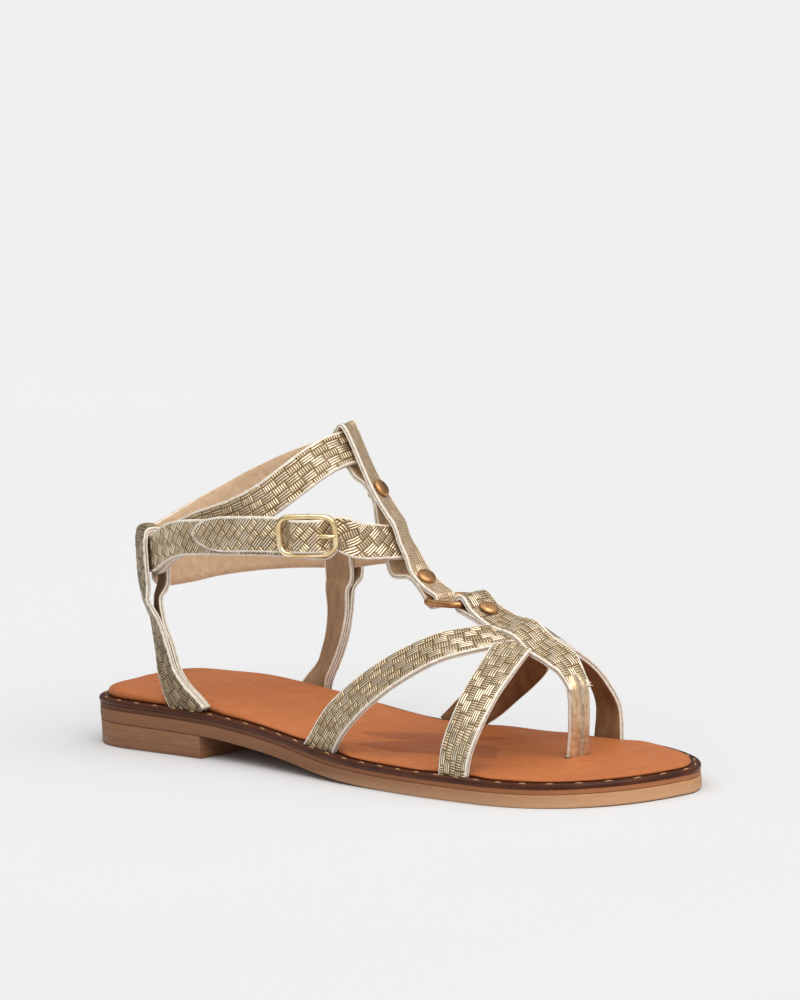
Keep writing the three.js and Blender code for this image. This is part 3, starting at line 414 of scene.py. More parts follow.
def strip_template(wall, ease, columns, inner):
    """Points round a strap's section: share of the half width, way in from it, height and kind of face."""
    h = wall / 2
    rows = [(a, -a * ease, h, GOLD) for a in np.linspace(-1, 1, columns + 1)]
    rows[-1] = (1, -ease, h, CREAM)
    edge = [(ease * 0.3, h - ease * 0.3), (0, h - ease), (0, 0.17), (0.16, 0.07), (0.16, -0.07),
            (0, -0.17), (0, -h + 0.2), (0.2, -h)]
    kinds = [CREAM, CREAM, SHADED_GAP, SHADED_GAP, SHADED_GAP, CREAM, CREAM]
    rows += [(1, -b, o, kind) for (b, o), kind in zip(edge, kinds + [LINING])]
    rows += [(a, -a * 0.2, -h, LINING) for a in np.linspace(1, -1, inner + 1)[1:-1]]
    rows += [(-1, b, o, kind) for (b, o), kind in zip(edge[::-1], kinds[::-1] + [CREAM])]
    a, b, o, kind = (np.array(x) for x in zip(*rows))
    return a, b, o, kind.astype(int), columns + 1


def strap_mesh(run, width, wall, relief=0.26, ease=0.3, turned=None, lined=None, clip=False):
    """width and relief may be arrays along the run; turned rows have the weave at 45 degrees."""
    n = len(run.s)
    half = np.broadcast_to(np.asarray(width, float) / 2, (n,))
    a, b, o, kind, face = strip_template(wall, ease, int(round(float(np.max(half)) * 2 / 0.4)), 6)
    s = a[None] * half[:, None] + b[None]
    out = np.tile(o, (n, 1))
    u = np.tile(run.s[:, None], (1, len(a)))
    turned = np.zeros(n, bool) if turned is None else turned
    lined = np.zeros(n, bool) if lined is None else lined
    ru, rv = (u + s) / sqrt(2), (s - u) / sqrt(2)
    uu, vv = np.where(turned[:, None], ru, u), np.where(turned[:, None], rv, s + strand / 2)
    deep = np.broadcast_to(np.asarray(relief, float), (n,)) * ~lined
    lift = deep[:, None] * (weave_height(uu, vv) - 0.55)
    out[:, :face] += lift[:, :face]
    grid = (run.centre[:, None] + run.side[:, None] * s[..., None] + run.out[:, None] * out[..., None])
    uv = np.stack([uu, vv + np.where(np.arange(len(a)) < face, 0, out + 3)], -1)
    uv = np.concatenate([uv, uv[:, :1]], 1)
    kinds = np.tile(kind, (n, 1))
    kinds[np.ix_(lined, np.arange(face - 1))] = LINING
    slope = np.abs(np.gradient(half, run.s))
    middle = (s[:, :face - 1] + s[:, 1:face]) / 2
    rim = half[:, None] - np.abs(middle) < cut_edge * np.sqrt(1 + slope ** 2)[:, None]
    if not run.closed and not clip:
        rim |= ((run.s < cut_end) | (run.s > run.length - cut_end))[:, None]
    kinds[:, :face - 1][rim] = CREAM
    if clip:
        grid, uv, kinds = clip_to_sole(grid, uv, kinds)
    return grid_mesh(grid, closed_rows=run.closed, uv=uv[:len(grid)], kinds=kinds)


def clip_to_sole(grid, uv, kinds):
    """Both ends stop on the welt, each line of points where it meets it."""
    gap = grid[..., 2] - (welt_top(grid[..., 0]) + 0.03)
    rows, middle = len(grid), len(grid) // 2
    lows, highs = [], []
    for k in range(grid.shape[1]):
        low = max(np.nonzero(gap[:middle, k] < 0)[0], default=-1)
        high = middle + min(np.nonzero(gap[middle:, k] < 0)[0], default=rows - middle)
        if low >= 0:
            share = gap[low, k] / (gap[low, k] - gap[low + 1, k])
            grid[:low + 1, k] = lerp(grid[low, k], grid[low + 1, k], share)
        if high < rows:
            share = gap[high, k] / (gap[high, k] - gap[high - 1, k])
            grid[high:, k] = lerp(grid[high, k], grid[high - 1, k], share)
        lows.append(low)
        highs.append(high)
    kept = slice(max(min(lows), 0), min(max(highs), rows - 1) + 1)
    return grid[kept], uv[kept], kinds[kept]


# Places of the straps

fold_radius = ring_wire / 2 + seat + strap_wall / 2
centre_rows = [(0.6492, 1.311), (0.6696, 1.207), (0.7036, 1.105), (0.7419, 1.062), (0.772, 0.935),
               (0.7991, 0.865), (0.8173, 0.782), (0.8315, 0.62), (0.833, 0.45)]
centre_points = [vec(x_at(a), midline_across, float(welt_top(x_at(a))) + up * instep_height)
                 for a, up in centre_rows]
ring_front_x = centre_points[0][0]
ring_z = centre_points[0][2] - fold_radius
ring_rear_x = ring_front_x - (ring_width - ring_wire)
fold_leaves = 46.0
ring_rise = 0.766


def height_at(rise):
    down = (rise - ring_rise) / (1 - ring_rise)
    return lerp(ring_z, ankle_height, down) if rise < 1 else rise * ankle_height


def rise_at(z):
    down = (z - ring_z) / (ankle_height - ring_z)
    return lerp(ring_rise, 1, down) if z < ankle_height else z / ankle_height


def instep_x(z):
    return float(x_at(instep_forward(rise_at(z))))


def over_last(rows):
    return [vec(x_at(a), across * ball_width, float(welt_top(x_at(a))) + up * instep_height)
            for a, across, up in rows]


def past(end, following, reach=strap_width / 2):
    return end + unit(end - following) * reach


def across_on_last(points):
    ways = []
    for i, point in enumerate(points):
        along = unit(points[min(i + 1, len(points) - 1)] - points[max(i - 1, 0)])
        above = point[2] - float(welt_top(point[0]))
        out = vec(0.38 * above, point[1] - midline_across, above + 2)
        out = unit(out - out.dot(along) * along)
        ways.append(np.cross(out, along))
    return ways


upper_vamp_rows = [
    (0.5247, -0.401, 0.255), (0.5609, -0.4, 0.464), (0.5867, -0.388, 0.598), (0.6314, -0.34, 0.8),
    (0.6791, -0.248, 0.969), (0.7105, -0.125, 1.02), (0.7257, 0.03, 1.03), (0.7344, 0.16, 0.995),
    (0.7382, 0.27, 0.84), (0.742, 0.355, 0.68), (0.7457, 0.405, 0.52), (0.7477, 0.45, 0.3)]
lower_vamp_rows = [
    (0.7649, -0.443, 0.197), (0.7724, -0.41, 0.4), (0.7734, -0.318, 0.648), (0.7649, -0.194, 0.824),
    (0.7524, -0.081, 0.94), (0.7344, 0.033, 0.983), (0.7048, 0.16, 0.95), (0.6753, 0.265, 0.815),
    (0.6438, 0.353, 0.66), (0.6096, 0.381, 0.51), (0.58, 0.382, 0.375), (0.5533, 0.372, 0.24),
    (0.5308, 0.345, 0.13)]


def vamp_run(rows, first_foot, last_foot):
    middle = over_last(rows)
    first, last = foot_of(strap_feet[first_foot]), foot_of(strap_feet[last_foot])
    points = [past(first, middle[0]), first, *middle, last, past(last, middle[-1])]
    return Run(points, across_on_last(points))


def on_fold(turn):
    a = radians(turn)
    return np.array([ring_front_x + fold_radius * cos(a), midline_across,
                     ring_z + fold_radius * sin(a)])


def centre_run():
    """From the tail under the strap round the ring's front bar and down to the toe post."""
    under = strap_wall - 0.1

    def below(point, drop):
        return vec(point[0], midline_across, point[2] - drop)
    p = centre_points
    tail = [below(p[2], under + 0.15), below(lerp(p[1], p[2], 0.5), under + 0.3), below(p[1], under + 0.55)]
    arc = [on_fold(turn) for turn in (266, 238.5, 211, 183.5, 156, 128.5, 101, 73.5, fold_leaves)]
    end = p[-2] + [1.1, 0, -0.2]
    across = [inward] * (len(tail) + len(arc))
    across += [vec(0, 1, 0.26 * sin(i / (len(p) - 1) * pi)) for i in range(1, len(p) - 1)]
    run = Run(tail + arc + p[1:-2] + [end], across)
    to_end = run.spans * (1 - run.t)
    run.width = lerp(post_width + 0.6, strap_width, smooth(to_end, 0.3, 1.8))
    return run


def ankle_at(turn, z, out=0.0):
    front = instep_x(z)
    half, middle = (front - ankle_back) / 2, (front + ankle_back) / 2

    def ellipse(angle):
        squareness = 2.35
        if sin(angle) < 0 and cos(angle) > 0:
            squareness = lerp(1.22, 1.35, float(smooth(-sin(angle), 0.15, 0.8)))
        forward, across = (float(power(way(angle), squareness)) for way in (cos, sin))
        return vec(middle + half * forward, ankle_across - ankle_width / 2 * across, z)
    a = radians(turn)
    run = ellipse(a + 0.02) - ellipse(a - 0.02)
    outward = unit(vec(-run[1], run[0], 0))
    return ellipse(a) + outward * out, outward


wrap_rows = [
    (33, 1.03, 0.7), (47, 1.04, 0.8), (63, 1.05, 0.9), (80, 1.045, 1), (95, 1.03, 1), (106, 1.01, 1),
    (117, 0.965, 1), (128, 0.915, 1), (142, 0.9, 1), (160, 0.91, 1), (180, 0.945, 1),
    (196, 0.998, 1), (212, 1.06, 0.5), (228, 1.13, 0), (245, 1.2, 0), (262, 1.262, 0),
    (280, 1.31, 0), (305, 1.35, 0), (333, 1.392, 0), (360, 1.418, 0), (374, 1.402, 0),
    (388, 1.362, 0), (406, 1.29, 0), (424, 1.208, 0), (440, 1.135, 0), (456, 1.06, 0),
    (474, 0.975, 0), (488, 0.905, 0), (502, 0.875, 0), (516, 0.83, 0), (528, 0.795, 0),
    (545, 0.785, 0), (562, 0.8, 0), (580, 0.816, 0), (600, 0.833, 0), (625, 0.853, 0),
    (650, 0.892, 0), (680, 0.943, 0), (705, 0.982, 0), (720, 1, 0.1), (732, 1.02, 0.8),
    (744, 1.042, 1.7)]
billet_rows = [(788, 1.073, 2), (803, 1.062, 2), (814, 1.05, 2)]
buckle_turn, buckle_rise, instep_lean = 765.5, 1.073, 0.62


def wrap_points(rows):
    return [ankle_at(turn, rise * ankle_height, step * layer_step)[0] for turn, rise, step in rows]


def wrap_across(rows):
    ways = []
    for turn, _, _ in rows:
        a = radians(turn)
        front = max(cos(a), 0)
        from_buckle = abs(turn % 360 - buckle_turn % 360)
        free = 1 if sin(a) < 0 else float(smooth(from_buckle, 15, 45)) * front * front
        buckled = turn < 90 or turn > 700
        ways.append(vec(-instep_lean * front * (free if buckled else front * front), 0, 1))
    return ways


buckle_centre, buckle_out = ankle_at(buckle_turn, buckle_rise * ankle_height, 2 * layer_step)
buckle_up = upward
buckle_forward = unit(np.cross(buckle_up, buckle_out))


def on_buckle(forward, up, out):
    sag = forward * forward / (2 * buckle_bend)
    return buckle_centre + buckle_forward * forward + buckle_up * up + buckle_out * (out - sag)


frame_out = strap_wall / 2 + seat + buckle_wire / 2
bar_out = -layer_step + strap_wall / 2 + 0.45 + bar_wire / 2
keeper_wall = 0.8
keeper_out = bar_out + bar_wire / 2 + 0.2 + keeper_wall / 2
prong_rise = bar_wire / 2 + seat + prong_wire / 2
hump_out = bar_out + prong_rise + prong_wire / 2 + seat + strap_wall / 2
opening_height = buckle_height - 2 * buckle_wire


def ankle_run():
    reach = buckle_length / 2 - buckle_wire / 2
    through = [(reach + 1.5, -0.2), (reach - 2.2, 0.12), (4.2, hump_out - 0.3), (0, hump_out),
               (-3.2, hump_out - 0.25), (-reach + 2.2, 0.1), (-reach - 1.5, 0)]
    over = [on_buckle(f, 0, o) for f, o in through]
    points = wrap_points(wrap_rows) + over + wrap_points(billet_rows)
    across = wrap_across(wrap_rows) + [upward] * len(over) + wrap_across(billet_rows)
    run = Run(points, across).facing(vec(0, -1.0, 0))
    here = run.t * run.spans
    away = np.abs(here - (len(wrap_rows) + 3))
    free = lerp(opening_height + 0.6, strap_width, smooth(away, 2, 3))
    to_tip = np.clip((run.spans - here) / 1.1, 0, 1)
    to_end = np.clip(here / 0.6, 0, 1)
    run.width = (free * np.sqrt(np.maximum(1 - (1 - to_tip) ** 2, 0.02))
                 * np.sqrt(np.maximum(1 - (1 - to_end) ** 2, 0.05)))
    run.here = here
    return run


def keeper_run():
    low = -layer_step + strap_wall / 2 + keeper_wall / 2 - 0.55
    rows = [(4.6, low), (3.1, low + 0.35), (1.5, keeper_out - 0.35), (0, keeper_out),
            (-1.5, keeper_out - 0.35), (-3.1, low + 0.35), (-4.6, low)]
    points = [on_buckle(f, 0, o) for f, o in rows]
    return Run(points, [upward] * len(points)).facing(buckle_out)


def wire_loop(at, length, height, corner, wire, normal, sides=20):
    x, y = (length - wire) / 2 - corner, (height - wire) / 2 - corner
    points = []
    for cx, cy, start in ((x, y, 0), (-x, y, 90), (-x, -y, 180), (x, -y, 270)):
        for turn in np.arange(0, 91, 22.5):
            a = radians(start + turn)
            points.append(at(cx + corner * cos(a), cy + corner * sin(a)))
    run = Run(points, [normal] * len(points), closed=True, pitch=0.5)
    return tube_grid(run, np.full(len(run.s), wire), sides)


def tube_grid(run, diameter, sides=20):
    a = np.arange(sides) / sides * 2 * pi
    diameter = np.broadcast_to(np.asarray(diameter, float), (len(run.s),))
    ring = (run.side[:, None] * np.cos(a)[None, :, None] + run.out[:, None] * np.sin(a)[None, :, None])
    return run.centre[:, None] + ring * (diameter / 2)[:, None, None]


def joined(*meshes, angle=50):
    bm = bmesh.new()
    for mesh in meshes:
        bm.from_mesh(mesh)
    whole = bpy.data.meshes.new("mesh")
    bm.to_mesh(whole)
    bm.free()
    for mesh in meshes:
        bpy.data.meshes.remove(mesh)
    smooth_all(whole, angle)
    return whole


def lens(at, sides=16, steps=12):
    """A closed form like a lens along a line: at(p, wide, turn) gives its points, p from -1 to 1."""
    rows = []
    for i in range(-steps, steps + 1):
        p = i / steps
        wide = sqrt(max(1 - p * p, 0))
        rows.append([at(p, wide, turn) for turn in np.arange(sides) / sides * 2 * pi])
    return grid_mesh(np.array(rows))


# The instep loop
loop_gap = (fold_wall + seat) / 2 + 0.05
loop_open = strap_wall / 2 + fold_wall / 2 + 0.75
loop_behind = 2.1
loop_rows = [
    (1.418, loop_open, loop_behind), (1.32, loop_open * 0.85, 0.4 * loop_behind),
    (1.262, loop_gap, 0), (1.19, loop_gap, 0), (1.12, loop_open * 0.8, loop_behind),
    (1.07, loop_open + 0.3, loop_behind), (1, loop_open + 0.1, 1.3 * loop_behind),
    (0.92, loop_open + 0.2, 1.75 * loop_behind), (0.866, loop_gap, 0), (0.81, loop_gap, 0)]


def instep_frame(z):
    up = unit(vec(instep_x(z + 2) - instep_x(z - 2), 0, 4))
    return vec(instep_x(z), ankle_across, z), vec(up[2], 0, -up[0]), up


def loop_side(rise):
    low, high = float(smooth(rise, 0.87, 1)), float(smooth(rise, 1.2, 1.36))
    return vec(-lerp(0.4 * low, 0.5, high), 1, 0)


def loop_run():
    outer, inner = [], []
    for rise, spread, behind in loop_rows:
        middle, out, _ = instep_frame(height_at(rise))
        outer.append(middle + out * spread)
        inner.append(middle - out * (spread + behind))
    held = instep_frame(height_at(loop_rows[0][0]))[0]
    leant = unit(vec(-instep_lean, 0, 1))
    ahead = vec(leant[2], 0, -leant[0])

    def fold(step, rise):
        return held + ahead * step * loop_open + leant * (strap_width / 2 + rise)
    crown = seat + fold_wall / 2 + 0.5
    back = -1 - loop_behind / loop_open
    over = [fold(back, -1.5), fold(0.75 * back, crown - 0.6), fold(0, crown), fold(0.75, crown - 0.6),
            fold(1, -1.5)]
    radius = ring_wire / 2 + seat + fold_wall / 2 + 0.08
    last = instep_frame(height_at(loop_rows[-1][0]))[0]
    leaves = degrees(atan2(last[2] - ring_z, last[0] - ring_rear_x)) - 90
    around = []
    for turn in (30, -10, -50, -90, -130, -170):
        a = radians(leaves + turn)
        around.append(np.array([ring_rear_x + radius * cos(a), ankle_across,
                                ring_z + radius * sin(a)]))
    points = [*over, *outer, *around, *inner[::-1]]
    return Run(points, [loop_side(rise_at(p[2])) for p in points], closed=True, pitch=0.35)


heel_rows = {
    "lateral": [(0.27, -0.07, 0, 3, 0), (0.363, -0.133, 0.004, 13, 0), (0.484, -0.173, 0.013, 21, 0),
                (0.605, -0.222, 0.023, 28, 0), (0.7, -0.26, 0.033, 33, 0.5)],
    "medial": [(0.296, 0.048, -0.015, -21, 0), (0.37, 0.083, -0.026, -20, 0),
               (0.47, 0.116, -0.042, -16, 0), (0.578, 0.128, -0.058, -11, 0),
               (0.68, 0.124, -0.072, -6, 0.3)]}


def heel_run(foot, rows, turn, rise, layers, play):
    sign = foot[1]
    base = foot_of(foot, strap_inset - 0.2)

    def facing(turn_out):
        a = radians(turn_out)
        return vec(-sin(a), sign * cos(a), 0)
    closed_gap = (fold_wall + seat) / 2
    open_gap = (layers * layer_step - 0.4) / 2 + fold_wall / 2 + 0.65
    held, held_out = ankle_at(turn, rise * ankle_height, (layers - 1) * layer_step / 2)
    up = []
    for share, forward, tilt, degrees_out, spread in rows:
        middle = np.array([base[0] + forward * ankle_height, base[1] - sign * tilt * ankle_height,
                           share * ankle_height])
        up.append((middle, facing(degrees_out), lerp(closed_gap, open_gap, spread)))
    half = strap_width / 2
    holds = [(held + upward * h, held_out, g) for h, g in
             ((-half - 3.6, open_gap), (0, open_gap + 0.2), (half, open_gap))]
    fold = [held + held_out * step * open_gap
            + upward * (half + play + fold_wall / 2 + (0.6 if step == 0 else 0)) for step in (0.72, 0, -0.72)]
    start = (base, facing(0), closed_gap)
    below = (past(base, up[0][0]), facing(0), closed_gap)
    up = [below, start, *up, *holds]
    outer = [m + o * g for m, o, g in up]
    inner = [m - o * g for m, o, g in up]
    points = [*outer, *fold, *inner[::-1]]

    def wide(out):
        return vec(-out[1], out[0], 0) * -sign
    ways = [wide(o) for _, o, _ in up]
    return Run(points, [*ways, *[wide(held_out)] * len(fold), *ways[::-1]]).facing(facing(0))


def post_points():
    above, top = centre_points[-3], centre_points[-2]
    x = x_at(post_along)
    foot = vec(x, midline_across, float(footbed_top(x)))
    middle = lerp(top, foot, 0.5) + vec(0.9, 0, 0)
    buried = foot + vec(-0.3, 0, -pad_at_toe)
    return [lerp(above, top, 0.45), top, middle, foot, buried]


# Materials

def srgb(*rgb):
    return tuple(((c / 255 + 0.055) / 1.055) ** 2.4 if c > 10 else c / 255 / 12.92 for c in rgb) + (1.0,)


class Nodes:
    """A tree of shader nodes; each call adds a node. A value may be another node's output."""

    def __init__(self, tree):
        self.tree = tree

    def put(self, socket, value):
        if isinstance(value, bpy.types.NodeSocket):
            self.tree.links.new(value, socket)
        else:
            socket.default_value = value

    def node(self, kind, *values, **named):
        node = self.tree.nodes.new("ShaderNode" + kind)
        for socket, value in zip(node.inputs, values):
            self.put(socket, value)
        for key, value in named.items():
            self.put(node.inputs[key.replace("_", " ")], value)
        return node

    def ramp(self, value, *stops):
        node = self.node("ValToRGB", value)
        elements = node.color_ramp.elements
        while len(elements) < len(stops):
            elements.new(0.5)
        for element, (at, colour) in zip(elements, stops):
            element.position = at
            element.color = colour if isinstance(colour, tuple) else (colour, colour, colour, 1)
        return node.outputs[0]


class Shader(Nodes):
    """A material."""

    def __init__(self, name, **values):
        self.material = bpy.data.materials.new(name)
        self.material.use_nodes = True
        super().__init__(self.material.node_tree)
        self.tree.nodes.clear()
        self.surface = self.node("BsdfPrincipled", **values)
        self.node("OutputMaterial", self.surface.outputs[0])

    def math(self, operation, *values):
        node = self.node("Math", *values)
        node.operation = operation
        return node.outputs[0]

    def add(self, a, b):
        return self.math("ADD", a, b)

    def times(self, a, b):
        return self.math("MULTIPLY", a, b)

    def split(self, vector):
        return self.node("SeparateXYZ", vector).outputs

    def uv(self):
        node = self.node("UVMap")
        node.uv_map = "strap"
        return self.split(node.outputs[0])[:2]

    def place(self, scale=(1, 1, 1)):
        where = self.node("TexCoord").outputs["Object"]
        return self.node("Mapping", Vector=where, Scale=scale).outputs[0]

    def noise(self, vector, scale, detail=3.0, rough=0.5):
        return self.node("TexNoise", Vector=vector, Scale=scale, Detail=detail, Roughness=rough).outputs[0]

    def cells(self, vector, scale):
        node = self.node("TexVoronoi", Vector=vector, Scale=scale)
        node.feature = "DISTANCE_TO_EDGE"
        return node.outputs["Distance"]

    def mix(self, factor, a, b):
        node = self.node("Mix")
        node.data_type = "RGBA"
        for index, value in ((0, factor), (6, a), (7, b)):
            self.put(node.inputs[index], value)
        return node.outputs[2]

    def range(self, *values):
        return self.node("MapRange", *values).outputs[0]

    def attribute(self, name):
        node = self.node("Attribute")
        node.attribute_name = name
        return node.outputs["Fac"]

    def colour(self, value):
        self.put(self.surface.inputs["Base Color"], value)

    def rough(self, value):
        self.put(self.surface.inputs["Roughness"], value)

    def bump(self, height, distance, strength=1.0):
        normal = self.node("Bump", Height=height, Distance=distance, Strength=strength).outputs[0]
        self.put(self.surface.inputs["Normal"], normal)


def woven(name, valley_shade, middle, top, metallic, contrast=1.0):
    """Embossed metallic leather, its colour and bump in step with the relief of the mesh. Its colour is
    painted light: painted shade in the hollows between the ribs and a painted highlight on the rib tops.
    """
    m = Shader(name, Metallic=metallic, Specular_IOR_Level=0.5)
    u, v = m.uv()
    cu, cv = m.math("DIVIDE", u, strand), m.math("DIVIDE", v, strand)
    iu, iv = m.math("FLOOR", cu), m.math("FLOOR", cv)
    fu, fv = m.math("SUBTRACT", cu, iu), m.math("SUBTRACT", cv, iv)
    shift = m.math("FLOOR", m.times(m.math("FLOORED_MODULO", iv, 4.0), 0.5))
    order = m.add(m.math("MULTIPLY_ADD", iv, 2.0, iu), shift)
    step = m.math("FLOORED_MODULO", order, 4.0)
    warp = m.math("LESS_THAN", step, 1.5)
    weft = m.math("SUBTRACT", 1.0, warp)

    def pick(a, b):
        return m.add(m.times(a, warp), m.times(b, weft))
    along = pick(m.add(step, fu), m.times(fv, 2.0))
    beside = pick(fv, fu)
    bend = m.math("ABSOLUTE", m.math("SUBTRACT", along, 1.0))
    arch = m.math("SUBTRACT", 1.0, m.math("POWER", bend, 8.0))
    wave = m.math("COSINE", m.times(beside, 6 * pi))
    rib = m.math("MULTIPLY_ADD", wave, -0.5, 0.5)
    height = m.times(arch, m.math("MULTIPLY_ADD", rib, 0.8, 0.2))
    here = m.place()
    wear = m.noise(here, 90, 4, 0.6)
    grain = m.noise(here, 1400, 2, 0.5)
    # Colour follows the relief height as painted light, dark in the hollows and bright on the ribs; cross
    # strands are a fifth darker, and random wear and grain are added.
    tone = m.times(height, m.math("MULTIPLY_ADD", weft, -0.2, 1.0))
    tone = m.add(tone, m.times(m.math("SUBTRACT", wear, 0.5), 0.6))
    tone = m.add(tone, m.times(m.math("SUBTRACT", grain, 0.5), 0.25))
    if contrast < 1:
        tone = m.math("MULTIPLY_ADD", tone, contrast, 0.62 * (1 - contrast))
    # The ramp goes from painted shade in the hollows through the middle tone to a painted highlight on the
    # rib tops.
    m.colour(m.ramp(tone, (0.05, valley_shade), (0.5, middle), (0.95, top)))
    m.rough(m.range(tone, 0.0, 1.0, 0.48, 0.21))
    m.bump(height, 0.0003 * contrast, 1.0)
    return m.material


def plain(name, colour, dark, rough, scale, fibre=(1, 1, 1), bump=0.0001, amount=0.5, **values):
    """One mottled tone; fibre squeezes the mottling along an axis."""
    m = Shader(name, **values)
    here = m.place(fibre)
    coarse, fine = m.noise(here, scale, 5, 0.6), m.noise(here, scale * 6, 3, 0.6)
    both = m.add(m.times(coarse, 0.6), m.times(fine, 0.4))
    m.colour(m.ramp(both, (0.5 - amount / 2, dark), (0.5 + amount / 2, colour)))
    m.rough(m.range(both, 0.3, 0.7, rough + 0.08, rough - 0.06))
    m.bump(both, bump, 0.7)
    return m.material


# Each weave gets three colours: painted shade for the hollows, the middle tone, and a painted highlight for
# the rib tops.
gold = woven("woven_gold_leather", srgb(112, 90, 62), srgb(192, 164, 120), srgb(255, 244, 222), 0.8)
band_gold = woven("band_leather", srgb(142, 110, 80), srgb(208, 176, 138), srgb(255, 240, 212), 0.75, 0.42)
# A darker copy of the gold weave: painted shade on the lateral heel strap, which faces away from the light.
shaded_heel_gold = woven("heel_woven_leather_painted_shade", srgb(84, 68, 48), srgb(146, 124, 92), srgb(206, 188, 156), 0.7)
post_gold = plain("post_leather", srgb(236, 212, 176), srgb(168, 138, 102), 0.42, 500, fibre=(1, 1, 0.2),
                  bump=0.00012, amount=0.3, Metallic=0.7)
cream = plain("cut_edge", srgb(246, 240, 230), srgb(202, 186, 164), 0.8, 700, bump=0.00012, amount=0.35)
# The groove between leather layers and dark slits, coloured dark as painted shade.
gap_painted_shade = plain("edge_gap_painted_shade", srgb(214, 198, 176), srgb(84, 66, 50), 0.9, 900, amount=0.3)
suede = dict(rough=0.95, scale=320, fibre=(1, 1, 0.35), bump=0.0002, Specular_IOR_Level=0.15)
lining = plain("lining_suede", srgb(164, 126, 90), srgb(98, 70, 46), **suede)
# A darker copy of the light lining: painted shade on both heel straps at the back of the shoe.
shaded_heel_lining = plain("heel_lining_suede_painted_shade", srgb(184, 154, 122), srgb(128, 100, 72), **suede)
light_lining = plain("light_lining_suede", srgb(226, 198, 166), srgb(180, 150, 118), 0.92, 420,
                     bump=0.00015, Specular_IOR_Level=0.15)
strap_looks = [gold, cream, gap_painted_shade, lining]
lateral_heel_shaded_looks = [shaded_heel_gold, cream, gap_painted_shade, shaded_heel_lining]
medial_heel_looks_shaded_lining = [gold, cream, gap_painted_shade, shaded_heel_lining]
post_looks = [post_gold, cream, gap_painted_shade, lining]
ankle_looks = [gold, cream, gap_painted_shade, light_lining]
band_looks = [band_gold, cream, gap_painted_shade, light_lining]


def metal(name, colour, dark, rough):
    m = Shader(name, Metallic=1.0)
    here = m.place()
    scuffs = m.noise(here, 700, 4, 0.65)
    broad = m.noise(here, 120, 3, 0.5)
    m.colour(m.ramp(broad, (0.35, dark), (0.62, colour)))
    m.rough(m.range(scuffs, 0.3, 0.7, rough - 0.05, rough + 0.12))
    m.bump(scuffs, 0.00003, 0.5)
    return m.material


pale_gold = metal("pale_gold_metal", srgb(252, 234, 192), srgb(226, 196, 142), 0.18)
rose = metal("rose_gold_metal", srgb(212, 162, 112), srgb(168, 122, 80), 0.3)


def sole_leather(name, fore, heel, toe, streak, streaks, shine, grain, rough, bump, low=None):
    """Leather that gets lighter to the toe between the places of fore, partly its own tone and partly painted
    light, lit at the toe and in painted shade toward the heel, with long streaks along the edge.

    streaks holds the squeeze of the streaks in height, their scale, roughness and share; bump holds its
    depth and the share of the fine grain in it; low is the colour of a lighter line at the very bottom.
    """
    m = Shader(name, Specular_IOR_Level=shine)
    here = m.place()
    x, _, z = m.split(here)
    squeeze, width, rough_streaks, share = streaks
    lines = m.noise(m.place((1, 1, squeeze)), width, 5, rough_streaks)
    fine = m.noise(here, grain, 3, 0.6)
    # Lighter toward the toe: partly the leather's tone, partly painted light on the toe and painted shade
    # toward the heel.
    body = m.mix(m.range(x, *fore, 0.0, 1.0), heel, toe)
    body = m.mix(m.times(lines, share), body, streak)
    if low:
        body = m.mix(m.range(z, 0.0, 0.0035, 0.5, 0.0), body, low)
    m.colour(body)
    m.rough(m.range(fine, 0.3, 0.7, *rough))
    distance, fine_share = bump
    m.bump(m.add(lines, m.times(fine, fine_share)), distance, 0.6)
    return m.material


def waxed(name, light, dark, rough):
    m = Shader(name, Specular_IOR_Level=0.22)
    here = m.place()
    broad, fine = m.noise(here, 120, 5, 0.6), m.noise(here, 1500, 3, 0.6)
    m.colour(m.ramp(m.add(m.times(broad, 0.7), m.times(fine, 0.3)), (0.32, dark), (0.66, light)))
    m.rough(m.range(broad, 0.3, 0.7, rough + 0.1, rough - 0.08))
    m.bump(fine, 0.0001, 0.6)
    return m.material


def heel_look():
    m = Shader("stacked_heel", Specular_IOR_Level=0.25)
    here = m.place()
    _, _, z = m.split(here)
    lines = m.math("SINE", m.times(z, 2 * pi / 0.0027))
    seam = m.range(lines, 0.9, 1.0, 0.0, 0.28)
    grainy = m.noise(m.place((1, 1, 4)), 140, 5, 0.6)
    body = m.mix(grainy, srgb(118, 80, 55), srgb(156, 111, 78))
    m.colour(m.mix(seam, body, srgb(70, 48, 36)))
    m.rough(m.range(grainy, 0.3, 0.7, 0.6, 0.45))
    m.bump(m.math("SUBTRACT", grainy, m.times(seam, 1.5)), 0.00015, 0.6)
    return m.material


def footbed_look():
    """Smooth tan leather with pores, darker and wrinkled where it rolls over the rim."""
    m = Shader("padded_leather", Specular_IOR_Level=0.22)
    here = m.place()
    pores = m.cells(here, 900)
    broad, mid, fine = m.noise(here, 22, 4, 0.55), m.noise(here, 160, 4, 0.6), m.noise(here, 900, 3, 0.6)
    tone = m.add(m.times(broad, 0.55), m.times(mid, 0.45))
    body = m.ramp(tone, (0.25, srgb(184, 105, 56)), (0.52, srgb(197, 116, 64)), (0.78, srgb(209, 129, 74)))
    rim = m.attribute("rim")
    body = m.mix(m.times(rim, 0.6), body, srgb(146, 78, 44))
    pore = m.range(pores, 0.0, 0.12, 0.4, 0.0)
    body = m.mix(pore, body, srgb(150, 84, 50))
    m.colour(body)
    m.rough(m.range(mid, 0.3, 0.7, 0.52, 0.4))
    creases = m.noise(m.place((1, 1, 0.12)), 700, 2, 0.6)
    wrinkles = m.times(m.times(creases, rim), 1.6)
    pits = m.range(pores, 0.0, 0.2, 0.0, 0.5)
    m.bump(m.add(m.add(pits, wrinkles), m.times(fine, 0.3)), 0.0001, 0.8)
    return m.material


